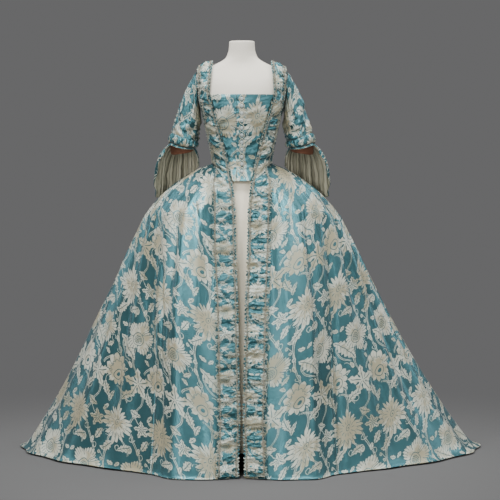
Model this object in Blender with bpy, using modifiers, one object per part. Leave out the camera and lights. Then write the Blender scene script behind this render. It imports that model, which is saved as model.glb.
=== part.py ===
"""Robe a la francaise on a limbless dress form, modelled in metres with +Z up and the front facing -Y.

The gown is open in front over the form's own cream hoop cover. Its fronts close with small covered
buttons over the bust, ruched bands run from the shoulders to the hem, and the back hangs in box pleats
from the neck into a train. Left and right are the wearer's, so left is +X. The origin is on the floor,
under the form's pole.
"""

import math

import bmesh
import bpy
import numpy as np
from mathutils import Vector

# Driving dimensions of the gown and the form
SILK = 0.0016
LINEN = 0.0012
FORM_WALL = 0.004
SEAM = 0.0005
EASE = 0.0010
WAIST_HEIGHT = 1.022
UNDERARM_HEIGHT = 1.235
NECKLINE_HEIGHT = 1.256
STOMACHER_FOOT = 0.962
SHOULDER_SEAM_HEIGHT = 1.318
SHOULDER_HEIGHT = 1.355
ROUNDNESS = 2.3

FRONT_DIP = 0.042
STRAP_OUTER = 0.153
STOMACHER_TUCK = 0.0005
CLOSING_X = -0.018

TRIM_WIDTH_SKIRT = 0.074
TRIM_WIDTH_WAIST = 0.062
TRIM_WIDTH_SHOULDER = 0.044
PUFF_LENGTH = 0.050
PUFF_HEIGHT = 0.010
TRIM_LIFT = 0.0040

HIP_SHARE = 0.24
HIP_ROUNDING = 0.35
SIDE_FLARE = 0.30
LEFT_SPREAD = 0.04
RIGHT_SPREAD = -0.035
FRONT_SEAM_SHARE = 0.345
SACK_WAIST_SHARE = 0.25

ARMHOLE_HEIGHT = 1.286
ARMHOLE_HALF_HEIGHT = 0.050
ARMHOLE_DEPTH = 0.008
ARMHOLE_HALF_DEPTH = 0.052
ARMHOLE_LIFT = 0.0024
ARM_LEAN_DEG = 13.0
FLOUNCE_WAVES = 7
FLOUNCE_FRONT = 0.006
FLOUNCE_BACK = 0.185
FLOUNCE_SPREAD = 0.040
RUCHE_WAVES = 12

BUTTON_COUNT = 11
BUTTON_TOP = 1.240
BUTTON_SPACING = 0.0246
BUTTON_RADIUS = 0.0062
BUTTON_RISE = 0.0042

POLE_RADIUS = 0.0125
BASE_RADIUS = 0.170
BASE_THICKNESS = 0.012
FORM_FOOT = 0.989

COLOURS = {
    "brocade": ((0.10, 0.33, 0.42), 0.42, 0.0),
    "lining": ((0.62, 0.60, 0.50), 0.80, 0.0),
    "sleeve_linen": ((0.36, 0.14, 0.07), 0.85, 0.0),
    "form_cotton": ((0.72, 0.70, 0.66), 0.85, 0.0),
    "metal": ((0.03, 0.03, 0.03), 0.45, 0.8),
}


def columns(names, rows):
    """A table as a dictionary of named columns."""
    return dict(zip(names.split(), np.array(rows, float).T))


# The padded figure under the gown, from the hip to the top of the neck
BODY = columns(
    "height half_width front back",
    [
        (0.940, 0.122, 0.160, 0.104),
        (0.985, 0.107, 0.115, 0.092),
        (1.030, 0.103, 0.099, 0.086),
        (1.080, 0.111, 0.102, 0.088),
        (1.130, 0.122, 0.109, 0.093),
        (1.180, 0.134, 0.117, 0.099),
        (1.230, 0.146, 0.119, 0.104),
        (1.270, 0.155, 0.112, 0.103),
        (1.300, 0.160, 0.099, 0.097),
        (1.322, 0.160, 0.083, 0.087),
        (1.338, 0.148, 0.069, 0.077),
        (1.351, 0.122, 0.058, 0.069),
        (1.364, 0.090, 0.050, 0.061),
        (1.380, 0.062, 0.046, 0.054),
        (1.400, 0.050, 0.044, 0.050),
        (1.424, 0.046, 0.044, 0.048),
        (1.442, 0.045, 0.043, 0.046),
    ],
)

# One row for each rib of the skirt, from the front edge to the seam with the sack back: where the rib
# leaves the waist, crosses the hip hoop and meets the floor, and how softly it turns on to the floor
RIBS = columns(
    "share waist_deg hip_x hip_y hip_z hem_x hem_y hem_z turn",
    [
        (0.00, 17, 0.022, -0.166, 0.850, 0.010, -0.442, 0.008, 0.004),
        (0.12, 36, 0.112, -0.176, 0.852, 0.118, -0.466, 0.006, 0.004),
        (0.22, 50, 0.184, -0.166, 0.852, 0.218, -0.460, 0.005, 0.004),
        (0.29, 59, 0.226, -0.148, 0.850, 0.270, -0.424, 0.005, 0.004),
        (0.345, 67, 0.256, -0.122, 0.846, 0.306, -0.372, 0.005, 0.006),
        (0.42, 76, 0.294, -0.082, 0.840, 0.420, -0.296, 0.004, 0.010),
        (0.52, 88, 0.326, -0.030, 0.834, 0.592, -0.174, 0.003, 0.014),
        (0.61, 98, 0.334, 0.014, 0.832, 0.712, -0.050, 0.003, 0.018),
        (0.68, 106, 0.330, 0.046, 0.834, 0.778, 0.056, 0.003, 0.022),
        (0.76, 116, 0.314, 0.080, 0.838, 0.806, 0.190, 0.003, 0.028),
        (0.88, 131, 0.262, 0.120, 0.848, 0.724, 0.430, 0.003, 0.036),
        (1.00, 146, 0.200, 0.146, 0.860, 0.510, 0.655, 0.003, 0.044),
    ],
)

# The centre back of the sack, from the neck to the end of the train
SACK_CENTRE = columns(
    "share back height",
    [
        (0.00, 0.088, 1.352),
        (0.07, 0.110, 1.280),
        (0.25, 0.232, 1.010),
        (0.50, 0.410, 0.625),
        (0.74, 0.600, 0.225),
        (0.86, 0.712, 0.045),
        (0.93, 0.800, 0.010),
        (1.00, 0.900, 0.004),
    ],
)

# Large folds of one skirt half: where each runs, how wide and deep it is, and where it starts and ends
FOLDS = columns(
    "share width depth lean start end",
    [
        (0.105, 0.016, -0.006, -0.010, 0.04, 0.75),
        (0.150, 0.034, 0.012, -0.020, 0.06, 1.20),
        (0.215, 0.030, 0.014, 0.020, 0.10, 1.20),
        (0.265, 0.022, -0.010, 0.045, 0.12, 1.20),
        (0.320, 0.030, 0.014, 0.050, 0.10, 1.20),
        (0.425, 0.036, 0.020, 0.020, 0.14, 1.20),
        (0.530, 0.040, 0.018, 0.010, 0.14, 1.20),
        (0.640, 0.034, 0.020, 0.020, 0.14, 1.20),
        (0.745, 0.036, 0.024, 0.010, 0.14, 1.20),
        (0.860, 0.036, 0.024, 0.000, 0.14, 1.20),
    ],
)

# How far down the cloth the rows of the skirt panels lie
SKIRT_ROWS = np.array([0, 0.05, 0.10, 0.15, 0.20, 0.26, 0.37, 0.51, 0.66, 0.80, 0.90, 0.955, 1.0])

# Small pleats that take the skirt in to the waist over each hip
HIP_PLEATS = columns(
    "share width depth",
    [
        (0.40, 0.020, 0.006),
        (0.47, 0.020, 0.007),
        (0.54, 0.020, 0.006),
        (0.61, 0.022, 0.007),
        (0.68, 0.022, 0.006),
        (0.76, 0.024, 0.006),
    ],
)

# The arm of a sleeve: its middle, and its half sizes across and front to back
ARM = columns(
    "share x y z half_width half_depth",
    [
        (0.00, 0.152, 0.008, 1.286, 0.044, 0.052),
        (0.20, 0.164, 0.008, 1.244, 0.044, 0.051),
        (0.50, 0.181, 0.006, 1.180, 0.0405, 0.048),
        (0.80, 0.197, 0.003, 1.118, 0.043, 0.047),
        (1.00, 0.2065, 0.001, 1.076, 0.044, 0.047),
    ],
)

# Where the sleeve ends: its height in front, behind, outside and inside the arm
SLEEVE_END = {"front": 1.080, "back": 1.050, "outer": 1.090, "inner": 1.072}

# The form's cream hoop cover, from the waist to its hem
HOOP_COVER = columns(
    "height half_width front back",
    [
        (0.9847, 0.100, 0.100, 0.084),
        (0.970, 0.132, 0.106, 0.090),
        (0.945, 0.190, 0.119, 0.098),
        (0.905, 0.244, 0.136, 0.104),
        (0.850, 0.280, 0.154, 0.114),
        (0.600, 0.318, 0.206, 0.170),
        (0.300, 0.350, 0.262, 0.225),
        (0.060, 0.372, 0.306, 0.265),
    ],
)


def through(at, values, t):
    """Reads a smooth curve through the rows of a table."""
    t = np.clip(np.asarray(t, float), at[0], at[-1])
    slope = np.gradient(values, at)
    i = np.clip(np.searchsorted(at, t, side="right") - 1, 0, len(at) - 2)
    step = at[i + 1] - at[i]
    s = (t - at[i]) / step
    start = (2 * s**3 - 3 * s**2 + 1) * values[i] + (s**3 - 2 * s**2 + s) * step * slope[i]
    return start + (3 * s**2 - 2 * s**3) * values[i + 1] + (s**3 - s**2) * step * slope[i + 1]


def read(table, name, t):
    return through(next(iter(table.values())), table[name], t)


def soft_step(low, high, t):
    s = np.clip((np.asarray(t, float) - low) / (high - low), 0, 1)
    return s * s * (3 - 2 * s)


def mix(a, b, share):
    return a * (1 - share) + b * share


def points(x, y, z):
    return np.stack(np.broadcast_arrays(x, y, z), axis=-1)


def oval(angle_deg, half_width, front, back):
    """A point of a rounded ring, with the angle measured from the front (-Y) towards +X."""
    a = np.radians(angle_deg)
    power = 2 / ROUNDNESS
    across, forward = np.sin(a), np.cos(a)
    depth = np.where(forward > 0, front, back)
    x = half_width * np.sign(across) * np.abs(across) ** power
    y = -depth * np.sign(forward) * np.abs(forward) ** power
    return x, y


def body_ring(angle_deg, height, out=0.0):
    """A point of the figure at this angle and height, moved out."""
    x, y = oval(
        angle_deg,
        read(BODY, "half_width", height) + out,
        read(BODY, "front", height) + out,
        read(BODY, "back", height) + out,
    )
    return points(x, y, height)


def body_depth(x, height, name):
    """How far the figure reaches forwards or back at this distance from its middle."""
    share = np.clip(np.abs(x) / read(BODY, "half_width", height), 0, 1)
    return read(BODY, name, height) * (1 - share**ROUNDNESS) ** (1 / ROUNDNESS)


def ridge_height(x):
    """The height of the shoulder line at this distance from the middle."""
    upper = BODY["height"] >= 1.322
    widths = BODY["half_width"][upper][::-1]
    heights = BODY["height"][upper][::-1]
    return np.interp(x, widths, heights)


def robing_inner(height):
    """The inner edge of the ruched band, from the stomacher's foot past the neckline to the shoulder."""
    heights = [STOMACHER_FOOT, 1.03, 1.14, NECKLINE_HEIGHT, 1.36]
    return np.interp(height, heights, [0.034, 0.047, 0.075, 0.110, 0.101])


def waist_line(angle_deg):
    """The height of the waist seam, which dips below the waist in front."""
    return WAIST_HEIGHT - FRONT_DIP * (1 - soft_step(22, 74, angle_deg))


def back_seam(height):
    """Where the side of the bodice meets its back, in degrees from the front."""
    return np.interp(height, [WAIST_HEIGHT, UNDERARM_HEIGHT, 1.30], [150, 127, 122])


def normals_of(grid):
    """Unit normals of a grid of points, rows crossed with columns."""
    n = np.cross(np.gradient(grid, axis=0), np.gradient(grid, axis=1))
    return n / np.linalg.norm(n, axis=-1, keepdims=True)


def skirt(share, fall, side_spread=0.0):
    """A point of the left half of the skirt: share from its front edge to the sack, fall to the hem."""
    share, fall = np.broadcast_arrays(np.asarray(share, float), np.asarray(fall, float))
    rib = {name: read(RIBS, name, share) for name in RIBS}
    waist = body_ring(rib["waist_deg"], waist_line(rib["waist_deg"]) - SILK - 0.0016, out=EASE)
    waist_x, waist_y, waist_z = np.moveaxis(waist, -1, 0)

    dome = np.clip(fall / HIP_SHARE, 0, 1)
    arc_out, arc_down = np.sin(dome * math.pi / 2), 1 - np.cos(dome * math.pi / 2)
    out = mix(dome, arc_out, HIP_ROUNDING)
    down = mix(dome, arc_down, HIP_ROUNDING)

    drop = np.clip((fall - HIP_SHARE) / (1 - HIP_SHARE), 0, 1)
    spread = drop - SIDE_FLARE * drop**1.5 * (1 - drop)
    x = mix(waist_x, rib["hip_x"], out) + (rib["hem_x"] - rib["hip_x"]) * spread
    y = mix(waist_y, rib["hip_y"], out) + (rib["hem_y"] - rib["hip_y"]) * spread
    x = x * (1 + side_spread * drop**1.3)
    line = rib["hip_z"] * (1 - drop) - rib["turn"] * 1.5 * drop
    z_fall = rib["hem_z"] + (line + np.sqrt(line**2 + rib["turn"] ** 2)) / 2
    z_start = rib["hem_z"] + (rib["hip_z"] + np.sqrt(rib["hip_z"] ** 2 + rib["turn"] ** 2)) / 2
    z = np.where(drop > 0, z_fall, mix(waist_z, z_start, down))

    swell = fold_height(share, fall)
    away = np.stack([x, y + 0.05], axis=-1)
    away = away / np.linalg.norm(away, axis=-1, keepdims=True)
    return points(x + away[..., 0] * swell, y + away[..., 1] * swell, z)


def fold_height(share, fall):
    """How far the folds and the hip pleats lift the skirt from its plain shape."""
    total = np.zeros_like(share)
    for at, width, depth, lean, start, end in zip(*FOLDS.values()):
        middle = at + lean * (fall - start)
        rise = soft_step(start, start + 0.25, fall) * (1 - soft_step(end - 0.25, end, fall))
        total += depth * rise * np.exp(-(((share - middle) / width) ** 2))
    for at, width, depth in zip(*HIP_PLEATS.values()):
        rise = soft_step(0.0, 0.04, fall) * (1 - soft_step(0.10, 0.30, fall))
        total += depth * rise * np.exp(-(((share - at) / width) ** 2))
    inner = soft_step(0.0, 0.09, share) * (1 - soft_step(0.95, 1.0, share))
    return total * inner


def sack(across, fall):
    """A point of the sack back. across runs from -1 to 1 over its width, fall from the neck to the hem."""
    across, fall = np.broadcast_arrays(np.asarray(across, float), np.asarray(fall, float))
    centre_y, centre_z = (read(SACK_CENTRE, name, fall) for name in ("back", "height"))
    neck = np.clip(fall / SACK_WAIST_SHARE, 0, 1)
    spread = np.where(across > 0, LEFT_SPREAD, RIGHT_SPREAD)
    down = np.clip((fall - SACK_WAIST_SHARE) / (1 - SACK_WAIST_SHARE), 0, 1)
    seam = skirt(np.ones_like(fall), down, spread)
    top = (0.094, 0.083, 1.345)
    edge = [mix(top[k], seam[..., k], neck) for k in range(3)]
    over_bodice = 1 - soft_step(SACK_WAIST_SHARE, SACK_WAIST_SHARE + 0.04, fall)
    edge[1] = edge[1] + 0.034 * np.sin(neck * math.pi) + 0.005 * over_bodice
    reach = across**2
    x = (edge[0] - 2 * SEAM) * across
    y = mix(centre_y, edge[1], reach)
    z = mix(centre_z, edge[2], reach)
    lift = sack_pleats(across, fall)
    floor = 1 - soft_step(0.80, 0.95, fall)
    return points(x, y + lift * 0.9, z + lift * mix(0.5, 0.4, floor))


def sack_pleats(across, fall):
    """Two stacked box pleats on each side of the middle, sharp at the neck and rounder below."""
    q = np.abs(across)
    box = soft_step(0.0, 0.10, q) * 0.6 - 0.5 * soft_step(0.42, 0.54, q) - 0.5 * soft_step(0.90, 1.0, q)
    rolls = 0.5 + 0.5 * np.cos(2 * math.pi * (q * 2.5 - 0.5))
    sharp = 1 - soft_step(0.15, 0.55, fall)
    flat = 1 - 0.6 * soft_step(0.84, 1.0, fall)
    end = 1 - soft_step(0.88, 1.0, q)
    height = mix(0.030 * rolls * flat, 0.013 * (box + 0.4), sharp)
    return height * end * soft_step(-0.02, 0.06, fall)


def body_side(y, z):
    """How far the figure reaches sideways at this depth and height."""
    depth = np.where(y < 0, read(BODY, "front", z), read(BODY, "back", z))
    share = np.clip(np.abs(y) / depth, 0, 1)
    return read(BODY, "half_width", z) * (1 - share**ROUNDNESS) ** (1 / ROUNDNESS)


def armhole(turn_deg):
    """The seam where a sleeve meets the body. The turn starts outside at the top and runs to the front."""
    a = np.radians(turn_deg)
    y = ARMHOLE_DEPTH - ARMHOLE_HALF_DEPTH * np.sin(a)
    z = ARMHOLE_HEIGHT + ARMHOLE_HALF_HEIGHT * np.cos(a)
    return points(body_side(y, z) + EASE + SILK + ARMHOLE_LIFT, y, z)


def sleeve_end(turn_deg):
    """The height of the sleeve's lower edge around the arm."""
    front, back, outer, inner = SLEEVE_END.values()
    a = np.radians(turn_deg)
    middle = (front + back + outer + inner) / 4
    tilt = (outer - inner) / 2 * np.cos(a) + (front - back) / 2 * np.sin(a)
    saddle = (outer + inner - front - back) / 4 * np.cos(2 * a)
    return middle + tilt + saddle


def sleeve(turn_deg, along, out=0.0):
    """A point of the left sleeve, from the armhole (0) to its lower edge (1)."""
    turn_deg, along = np.broadcast_arrays(np.asarray(turn_deg, float), np.asarray(along, float))
    a = np.radians(turn_deg)
    start = 0.32 * (1 - np.cos(a)) / 2
    lean = math.radians(ARM_LEAN_DEG)
    arm_share = np.interp(sleeve_end(turn_deg), ARM["z"][::-1], ARM["share"][::-1])
    lift = (read(ARM, "half_width", 1.0) * np.cos(a) * math.sin(lean)) / (ARM["z"][-2] - ARM["z"][-1]) * 0.2
    end = np.minimum(arm_share + lift, 1.12)
    cut = mix(start, end, along)
    arm = {name: read(ARM, name, cut) for name in ARM}
    half_width = (arm["half_width"] + out) * np.cos(a)
    past = np.clip(cut - 1, 0, 1)
    tube = points(
        arm["x"] + half_width * math.cos(lean) + past * 0.05,
        arm["y"] - (arm["half_depth"] + out) * np.sin(a),
        arm["z"] + half_width * math.sin(lean) - past * 0.21,
    )
    set_in = soft_step(0.0, 0.40, along)[..., None]
    found = armhole(turn_deg) * (1 - set_in) + tube * set_in
    clear = body_side(found[..., 1], found[..., 2]) + EASE + SILK + ARMHOLE_LIFT + out
    pressed = np.where(along > 0.02, np.maximum(found[..., 0], clear), found[..., 0])
    return points(pressed, found[..., 1], found[..., 2])


def hip_height(x, y):
    """The height of the skirt's surface over a point of the plan, at the hip."""
    share, fall = np.meshgrid(np.linspace(0.2, 1, 90), np.linspace(0, 0.42, 60), indexing="ij")
    near = skirt(share, fall).reshape(-1, 3)
    away = np.hypot(near[:, 0] - x[..., None], near[:, 1] - y[..., None])
    return np.where(away < 0.016, near[:, 2], 0).max(axis=-1)


def flounce_length(turn_deg):
    """The pagoda flounce: cut away in front, long at the sides and behind."""
    behind = (1 - np.sin(np.radians(turn_deg))) / 2
    return FLOUNCE_FRONT + (FLOUNCE_BACK - FLOUNCE_FRONT) * soft_step(0.10, 0.52, behind)


def flounce(turn_deg, fall, out=0.0):
    """A point of the left flounce, from the sleeve's lower edge to a hem that stays clear of the hip."""
    turn_deg, fall = np.broadcast_arrays(np.asarray(turn_deg, float), np.asarray(fall, float))
    a = np.radians(turn_deg)
    start = sleeve(turn_deg, np.ones_like(fall), out=out)

    def at(length):
        """The point this far down the cloth, and the plan of its spread."""
        wide = FLOUNCE_SPREAD * (1 - np.exp(-length / 0.032))
        wave = 0.0075 * soft_step(0, 0.10, length) * np.cos(FLOUNCE_WAVES * a)
        x = start[..., 0] + (wide + wave) * np.cos(a) * np.where(np.cos(a) < 0, 0.45, 1.0) + 0.06 * length
        y = start[..., 1] - (wide + wave) * np.sin(a) + 0.30 * length
        return x, y

    full = flounce_length(turn_deg)
    for _ in range(6):
        room = start[..., 2] - hip_height(*at(full)) - 0.010
        full = np.minimum(full, np.maximum(room, 0.006))
    x, y = at(full * fall)
    return points(x, y, start[..., 2] - 0.0024 - full * fall)


def material(name):
    """A Principled material in the colour of one of the real cloths or metals."""
    found = bpy.data.materials.get(name)
    if found:
        return found
    made = bpy.data.materials.new(name)
    made.use_nodes = True
    colour, roughness, metallic = COLOURS[name]
    shader = made.node_tree.nodes["Principled BSDF"]
    shader.inputs["Base Color"].default_value = (*colour, 1)
    shader.inputs["Roughness"].default_value = roughness
    shader.inputs["Metallic"].default_value = metallic
    return made


def add_object(name, mesh, material_name, collection):
    made = bpy.data.objects.new(name, mesh)
    mesh.materials.append(material(material_name))
    mesh.shade_smooth()
    collection.objects.link(made)
    return made


def cloth(name, grid, side, material_name, collection, wall=SILK, ring=False):
    """Sews a grid of points into a panel and thickens it outwards. side -1 mirrors it to the other side."""
    grid = np.array(grid)
    grid[..., 0] *= side
    rows, across = grid.shape[:2]
    frame = bmesh.new()
    verts = [[frame.verts.new(p) for p in row] for row in grid]
    for i in range(rows - 1):
        for j in range(across if ring else across - 1):
            k = (j + 1) % across
            corners = [verts[i][j], verts[i + 1][j], verts[i + 1][k], verts[i][k]]
            frame.faces.new(corners if side > 0 else corners[::-1])
    mesh = bpy.data.meshes.new(name)
    frame.to_mesh(mesh)
    frame.free()
    made = add_object(name, mesh, material_name, collection)
    thicken = made.modifiers.new("Cloth wall", "SOLIDIFY")
    thicken.thickness = wall
    thicken.offset = 1
    return made


def solid_loft(name, rings, material_name, collection):
    """A closed solid through rings of points, from the lowest to the highest, with flat ends."""
    frame = bmesh.new()
    verts = [[frame.verts.new(p) for p in ring] for ring in rings]
    count = len(verts[0])
    for low, high in zip(verts, verts[1:]):
        for j in range(count):
            k = (j + 1) % count
            frame.faces.new([low[j], low[k], high[k], high[j]])
    frame.faces.new(verts[0][::-1])
    frame.faces.new(verts[-1])
    mesh = bpy.data.meshes.new(name)
    frame.to_mesh(mesh)
    frame.free()
    return add_object(name, mesh, material_name, collection)


def grid_of(surface, first, second):
    """Points of a surface over two lists of its shares, a row for each of the first."""
    a, b = np.meshgrid(first, second, indexing="ij")
    return surface(a, b)


def dress_form(collection):
    """The padded bust with its neck, the hoop cover under the skirts, and the pole and its base."""
    heights = [FORM_FOOT, 1.015, 1.045, 1.090, 1.135, 1.180, 1.225, 1.262, 1.292, 1.314, 1.330, 1.344]
    heights += [1.356, 1.368, 1.384, 1.408, 1.4365, 1.442]
    angles = np.linspace(0, 360, 32, endpoint=False)
    rings = [body_ring(angles, h, out=-0.0014 if h < 1.44 else -0.004) for h in heights]
    solid_loft("form_bust", rings, "form_cotton", collection)

    turns = np.linspace(0, 360, 28, endpoint=False)

    def cover(height, angle):
        drops = HOOP_COVER["height"][::-1]
        sizes = [np.interp(height, drops, HOOP_COVER[k][::-1]) for k in ("half_width", "front", "back")]
        x, y = oval(angle, *(size - FORM_WALL for size in sizes))
        return points(x, y, height)

    heights = np.concatenate([HOOP_COVER["height"][:5], [0.70, 0.45, 0.25, HOOP_COVER["height"][-1]]])
    grid = grid_of(cover, heights, turns)
    cloth("form_hoop_cover", grid, 1, "form_cotton", collection, FORM_WALL, ring=True)

    bpy.ops.mesh.primitive_cylinder_add(vertices=36, radius=BASE_RADIUS, depth=BASE_THICKNESS,
                                        location=(0, 0, BASE_THICKNESS / 2))
    base = take_over("form_base", "metal", collection)
    rounding = base.modifiers.new("Rounded rim", "BEVEL")
    rounding.width = 0.002
    rounding.segments = 1
    rounding.limit_method = "ANGLE"
    low, high = BASE_THICKNESS + 0.0003, FORM_FOOT - 0.0003
    bpy.ops.mesh.primitive_cylinder_add(vertices=20, radius=POLE_RADIUS, depth=high - low,
                                        location=(0, 0, (low + high) / 2))
    take_over("form_pole", "metal", collection)


def take_over(name, material_name, collection):
    """Names the primitive just added, gives it its material and moves it to the gown's collection."""
    made = bpy.context.object
    made.name = made.data.name = name
    made.data.materials.append(material(material_name))
    made.data.shade_smooth()
    made.data.set_sharp_from_angle(angle=math.radians(40))
    for home in list(made.users_collection):
        home.objects.unlink(made)
    collection.objects.link(made)
    return made


def stomacher_heights():
    """The heights of the stomacher's rows, closer together where its foot flares over the skirt."""
    return mix(NECKLINE_HEIGHT, STOMACHER_FOOT, np.linspace(0, 1, 13) ** 0.75)


def stomacher_half(side, closing, name, collection):
    """Half of the buttoned front, ending in a lap below the waist. Share -1 lies past the middle."""
    def front(height, share):
        tuck = STOMACHER_TUCK + 0.0025 * (1 - soft_step(STOMACHER_FOOT, 0.995, height))
        edge = robing_inner(height) - tuck
        x = mix(max(closing, 0), edge, np.maximum(share, 0)) + closing * np.maximum(-share, 0)
        return points(x, -body_depth(x, height, "front") - EASE, height)

    shares = [-1, 0, 1 / 3, 2 / 3, 1] if closing < 0 else [0, 0.25, 0.5, 0.75, 1]
    cloth(name, grid_of(front, stomacher_heights(), shares), side, "brocade", collection)


def bodice(side, name, collection):
    """The fitted front and side, from under the ruched band to the side back."""
    top = UNDERARM_HEIGHT - SEAM

    def panel(down, share):
        level = mix(top, WAIST_HEIGHT - FRONT_DIP, down)
        across = (robing_inner(level) + SEAM) / (read(BODY, "half_width", level) + EASE)
        inner = np.degrees(np.arcsin(across ** (ROUNDNESS / 2)))
        angle = mix(inner, back_seam(mix(top, WAIST_HEIGHT, down)) - 0.3, share)
        return body_ring(angle, mix(top, waist_line(angle), down), out=EASE)

    downs = np.array([0, 0.17, 0.34, 0.50, 0.65, 0.78, 0.90, 1.0])
    cloth(f"bodice_{name}", grid_of(panel, downs, np.linspace(0, 1, 12)), side, "brocade", collection)


def strap_point(x_share, over):
    """A point of the shoulder strap, from the front (-1) over the shoulder to the back (1)."""
    low = np.clip(-over, 0, 1)
    inner = robing_inner(mix(SHOULDER_HEIGHT, UNDERARM_HEIGHT, over**2 * (over < 0))) + SEAM
    outer = STRAP_OUTER - 0.010 * low**2.6 - 0.0105 * np.clip(over, 0, 1) ** 2
    x = mix(inner, outer, x_share)
    top = ridge_height(x)
    bottom = np.where(over < 0, UNDERARM_HEIGHT + SEAM, SHOULDER_SEAM_HEIGHT)
    z = top - (top - bottom) * over**2
    depth = np.where(over < 0, body_depth(x, z, "front"), body_depth(x, z, "back"))
    lift = 0.0030 * (1 - np.abs(over))
    return points(x, np.sign(over) * (depth + EASE + 0.0008), z + lift)


def back_panel(collection):
    """The fitted back that carries the sack, from the shoulder seams and the back neck to the waist."""
    def panel(down, share):
        seam = back_seam(down)
        return body_ring(mix(seam, 360 - seam, share), down, out=EASE)

    heights = np.array([SHOULDER_SEAM_HEIGHT - 0.0010, 1.296, 1.265, 1.22, 1.16, 1.09, WAIST_HEIGHT])
    cloth("bodice_back", grid_of(panel, heights, np.linspace(0.004, 0.996, 15)), 1, "brocade", collection)


def skirt_half(side, name, collection):
    """The open front, and the side with its hip pleats that runs out into the train."""
    spread = LEFT_SPREAD if side > 0 else RIGHT_SPREAD

    def front(fall, across):
        return skirt(across * (FRONT_SEAM_SHARE - SEAM / mix(0.25, 1.15, fall)), fall, spread)

    def flank(fall, across):
        return skirt(mix(FRONT_SEAM_SHARE, 1 - SEAM / mix(0.22, 2.6, fall), across), fall, spread)

    shares = [0, 0.045, 0.09, 0.115, 0.145, 0.18, 0.21, 0.24, 0.265, 0.29, 0.315, FRONT_SEAM_SHARE]
    front_grid = grid_of(front, SKIRT_ROWS, np.array(shares) / FRONT_SEAM_SHARE)
    side_grid = grid_of(flank, SKIRT_ROWS, np.linspace(0, 1, 19))
    cloth(f"skirt_front_{name}", front_grid, side, "brocade", collection)
    cloth(f"skirt_side_{name}", side_grid, side, "brocade", collection)


def puff(along, across):
    """Height of a ruched band: round between its gathers and pinched at its edges."""
    swell = np.abs(np.sin(math.pi * along)) ** 0.7
    return PUFF_HEIGHT * swell * (0.35 + 0.65 * np.abs(np.sin(math.pi * across)) ** 0.8)


def shoulder_rows(across):
    """Rows under the ruched band from the sack over the shoulder to the underarm level."""
    return [strap_point(across * 0.90 - 0.05, over) for over in np.linspace(0.86, -0.97, 40)]


def bodice_rows(across):
    """Rows under the ruched band from the underarm level to the waist seam."""
    rows = []
    angles = np.linspace(10, 90, 81)
    foot = WAIST_HEIGHT - FRONT_DIP + 0.012
    for level in np.linspace(UNDERARM_HEIGHT - 0.006, foot, 50):
        down = (UNDERARM_HEIGHT - level) / (UNDERARM_HEIGHT - foot)
        ring = body_ring(angles, level, out=EASE)
        reach = np.concatenate([[0], np.cumsum(np.linalg.norm(np.diff(ring, axis=0), axis=-1))])
        first = np.interp(robing_inner(level) - 0.002, ring[:, 0], reach)
        width = mix(TRIM_WIDTH_WAIST, TRIM_WIDTH_SHOULDER, soft_step(1.10, UNDERARM_HEIGHT, level))
        angle = np.interp(first + width * across, reach, angles)
        height = level + down**2 * (waist_line(angle) - waist_line(angle[0]))
        rows.append(body_ring(angle, height, out=EASE))
    return rows


def skirt_rows(across, spread):
    """Rows under the ruched band down the front edge of the skirt, measured across the cloth."""
    rows = []
    shares = np.linspace(0.001, 0.24, 50)
    for fall in np.linspace(0.018, 0.992, 160):
        cloth_line = skirt(shares, fall, spread)
        reach = np.concatenate([[0], np.cumsum(np.linalg.norm(np.diff(cloth_line, axis=0), axis=-1))])
        width = mix(TRIM_WIDTH_WAIST, TRIM_WIDTH_SKIRT, soft_step(0, 0.12, fall))
        rows.append(skirt(np.interp(width * across, reach, shares), fall, spread))
    return rows


def robing(side, name, collection):
    """The ruched band in one length, from the back of the shoulder to the hem, three rows to a puff."""
    spread = LEFT_SPREAD if side > 0 else RIGHT_SPREAD
    across = np.linspace(0, 1, 4)
    fine = np.array(shoulder_rows(across) + bodice_rows(across) + skirt_rows(across, spread))
    out = normals_of(fine)
    along = np.concatenate([[0], np.cumsum(np.linalg.norm(np.diff(fine[:, 1], axis=0), axis=-1))])
    puffs = round(along[-1] / PUFF_LENGTH)
    stops = np.linspace(0, along[-1], 3 * puffs + 1)
    nearest = np.searchsorted(along, stops).clip(0, len(along) - 1)
    base, out = fine[nearest], out[nearest]
    height = TRIM_LIFT + puff(np.arange(3 * puffs + 1)[:, None] / 3, across[None, :])
    cloth(f"robing_{name}", base + out * height[..., None], side, "brocade", collection)


def buttons(collection):
    """Small cloth-covered domes down the front, each seated on the overlapping half."""
    rows = stomacher_heights()[::-1]
    cloth_line = body_depth(0.0, rows, "front")
    for i in range(BUTTON_COUNT):
        height = BUTTON_TOP - i * BUTTON_SPACING
        above, below = (np.interp(height + step, rows, cloth_line) for step in (0.006, -0.006))
        front = -(above + below) / 2 - EASE - SILK - SEAM
        slope = (above - below) / 0.012
        profile = [(0, 0, 0), (0.90, 0, 0), (1.0, 0, 0.45), (0.66, 0, 0.86), (0, 0, 1.0)]
        frame = bmesh.new()
        verts = [frame.verts.new((x * BUTTON_RADIUS, y, z * BUTTON_RISE)) for x, y, z in profile]
        for a, b in zip(verts, verts[1:]):
            frame.edges.new((a, b))
        mesh = bpy.data.meshes.new(f"button_{i + 1:02d}")
        frame.to_mesh(mesh)
        frame.free()
        made = add_object(f"button_{i + 1:02d}", mesh, "brocade", collection)
        turn = made.modifiers.new("Turned", "SCREW")
        turn.steps = turn.render_steps = 8
        turn.use_merge_vertices = True
        turn.merge_threshold = 0.00001
        turn.use_normal_calculate = True
        out = Vector((0, -1, -float(slope))).normalized()
        made.rotation_mode = "QUATERNION"
        made.rotation_quaternion = Vector((0, 0, 1)).rotation_difference(out)
        made.location = (0.0, float(front), height)


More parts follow.
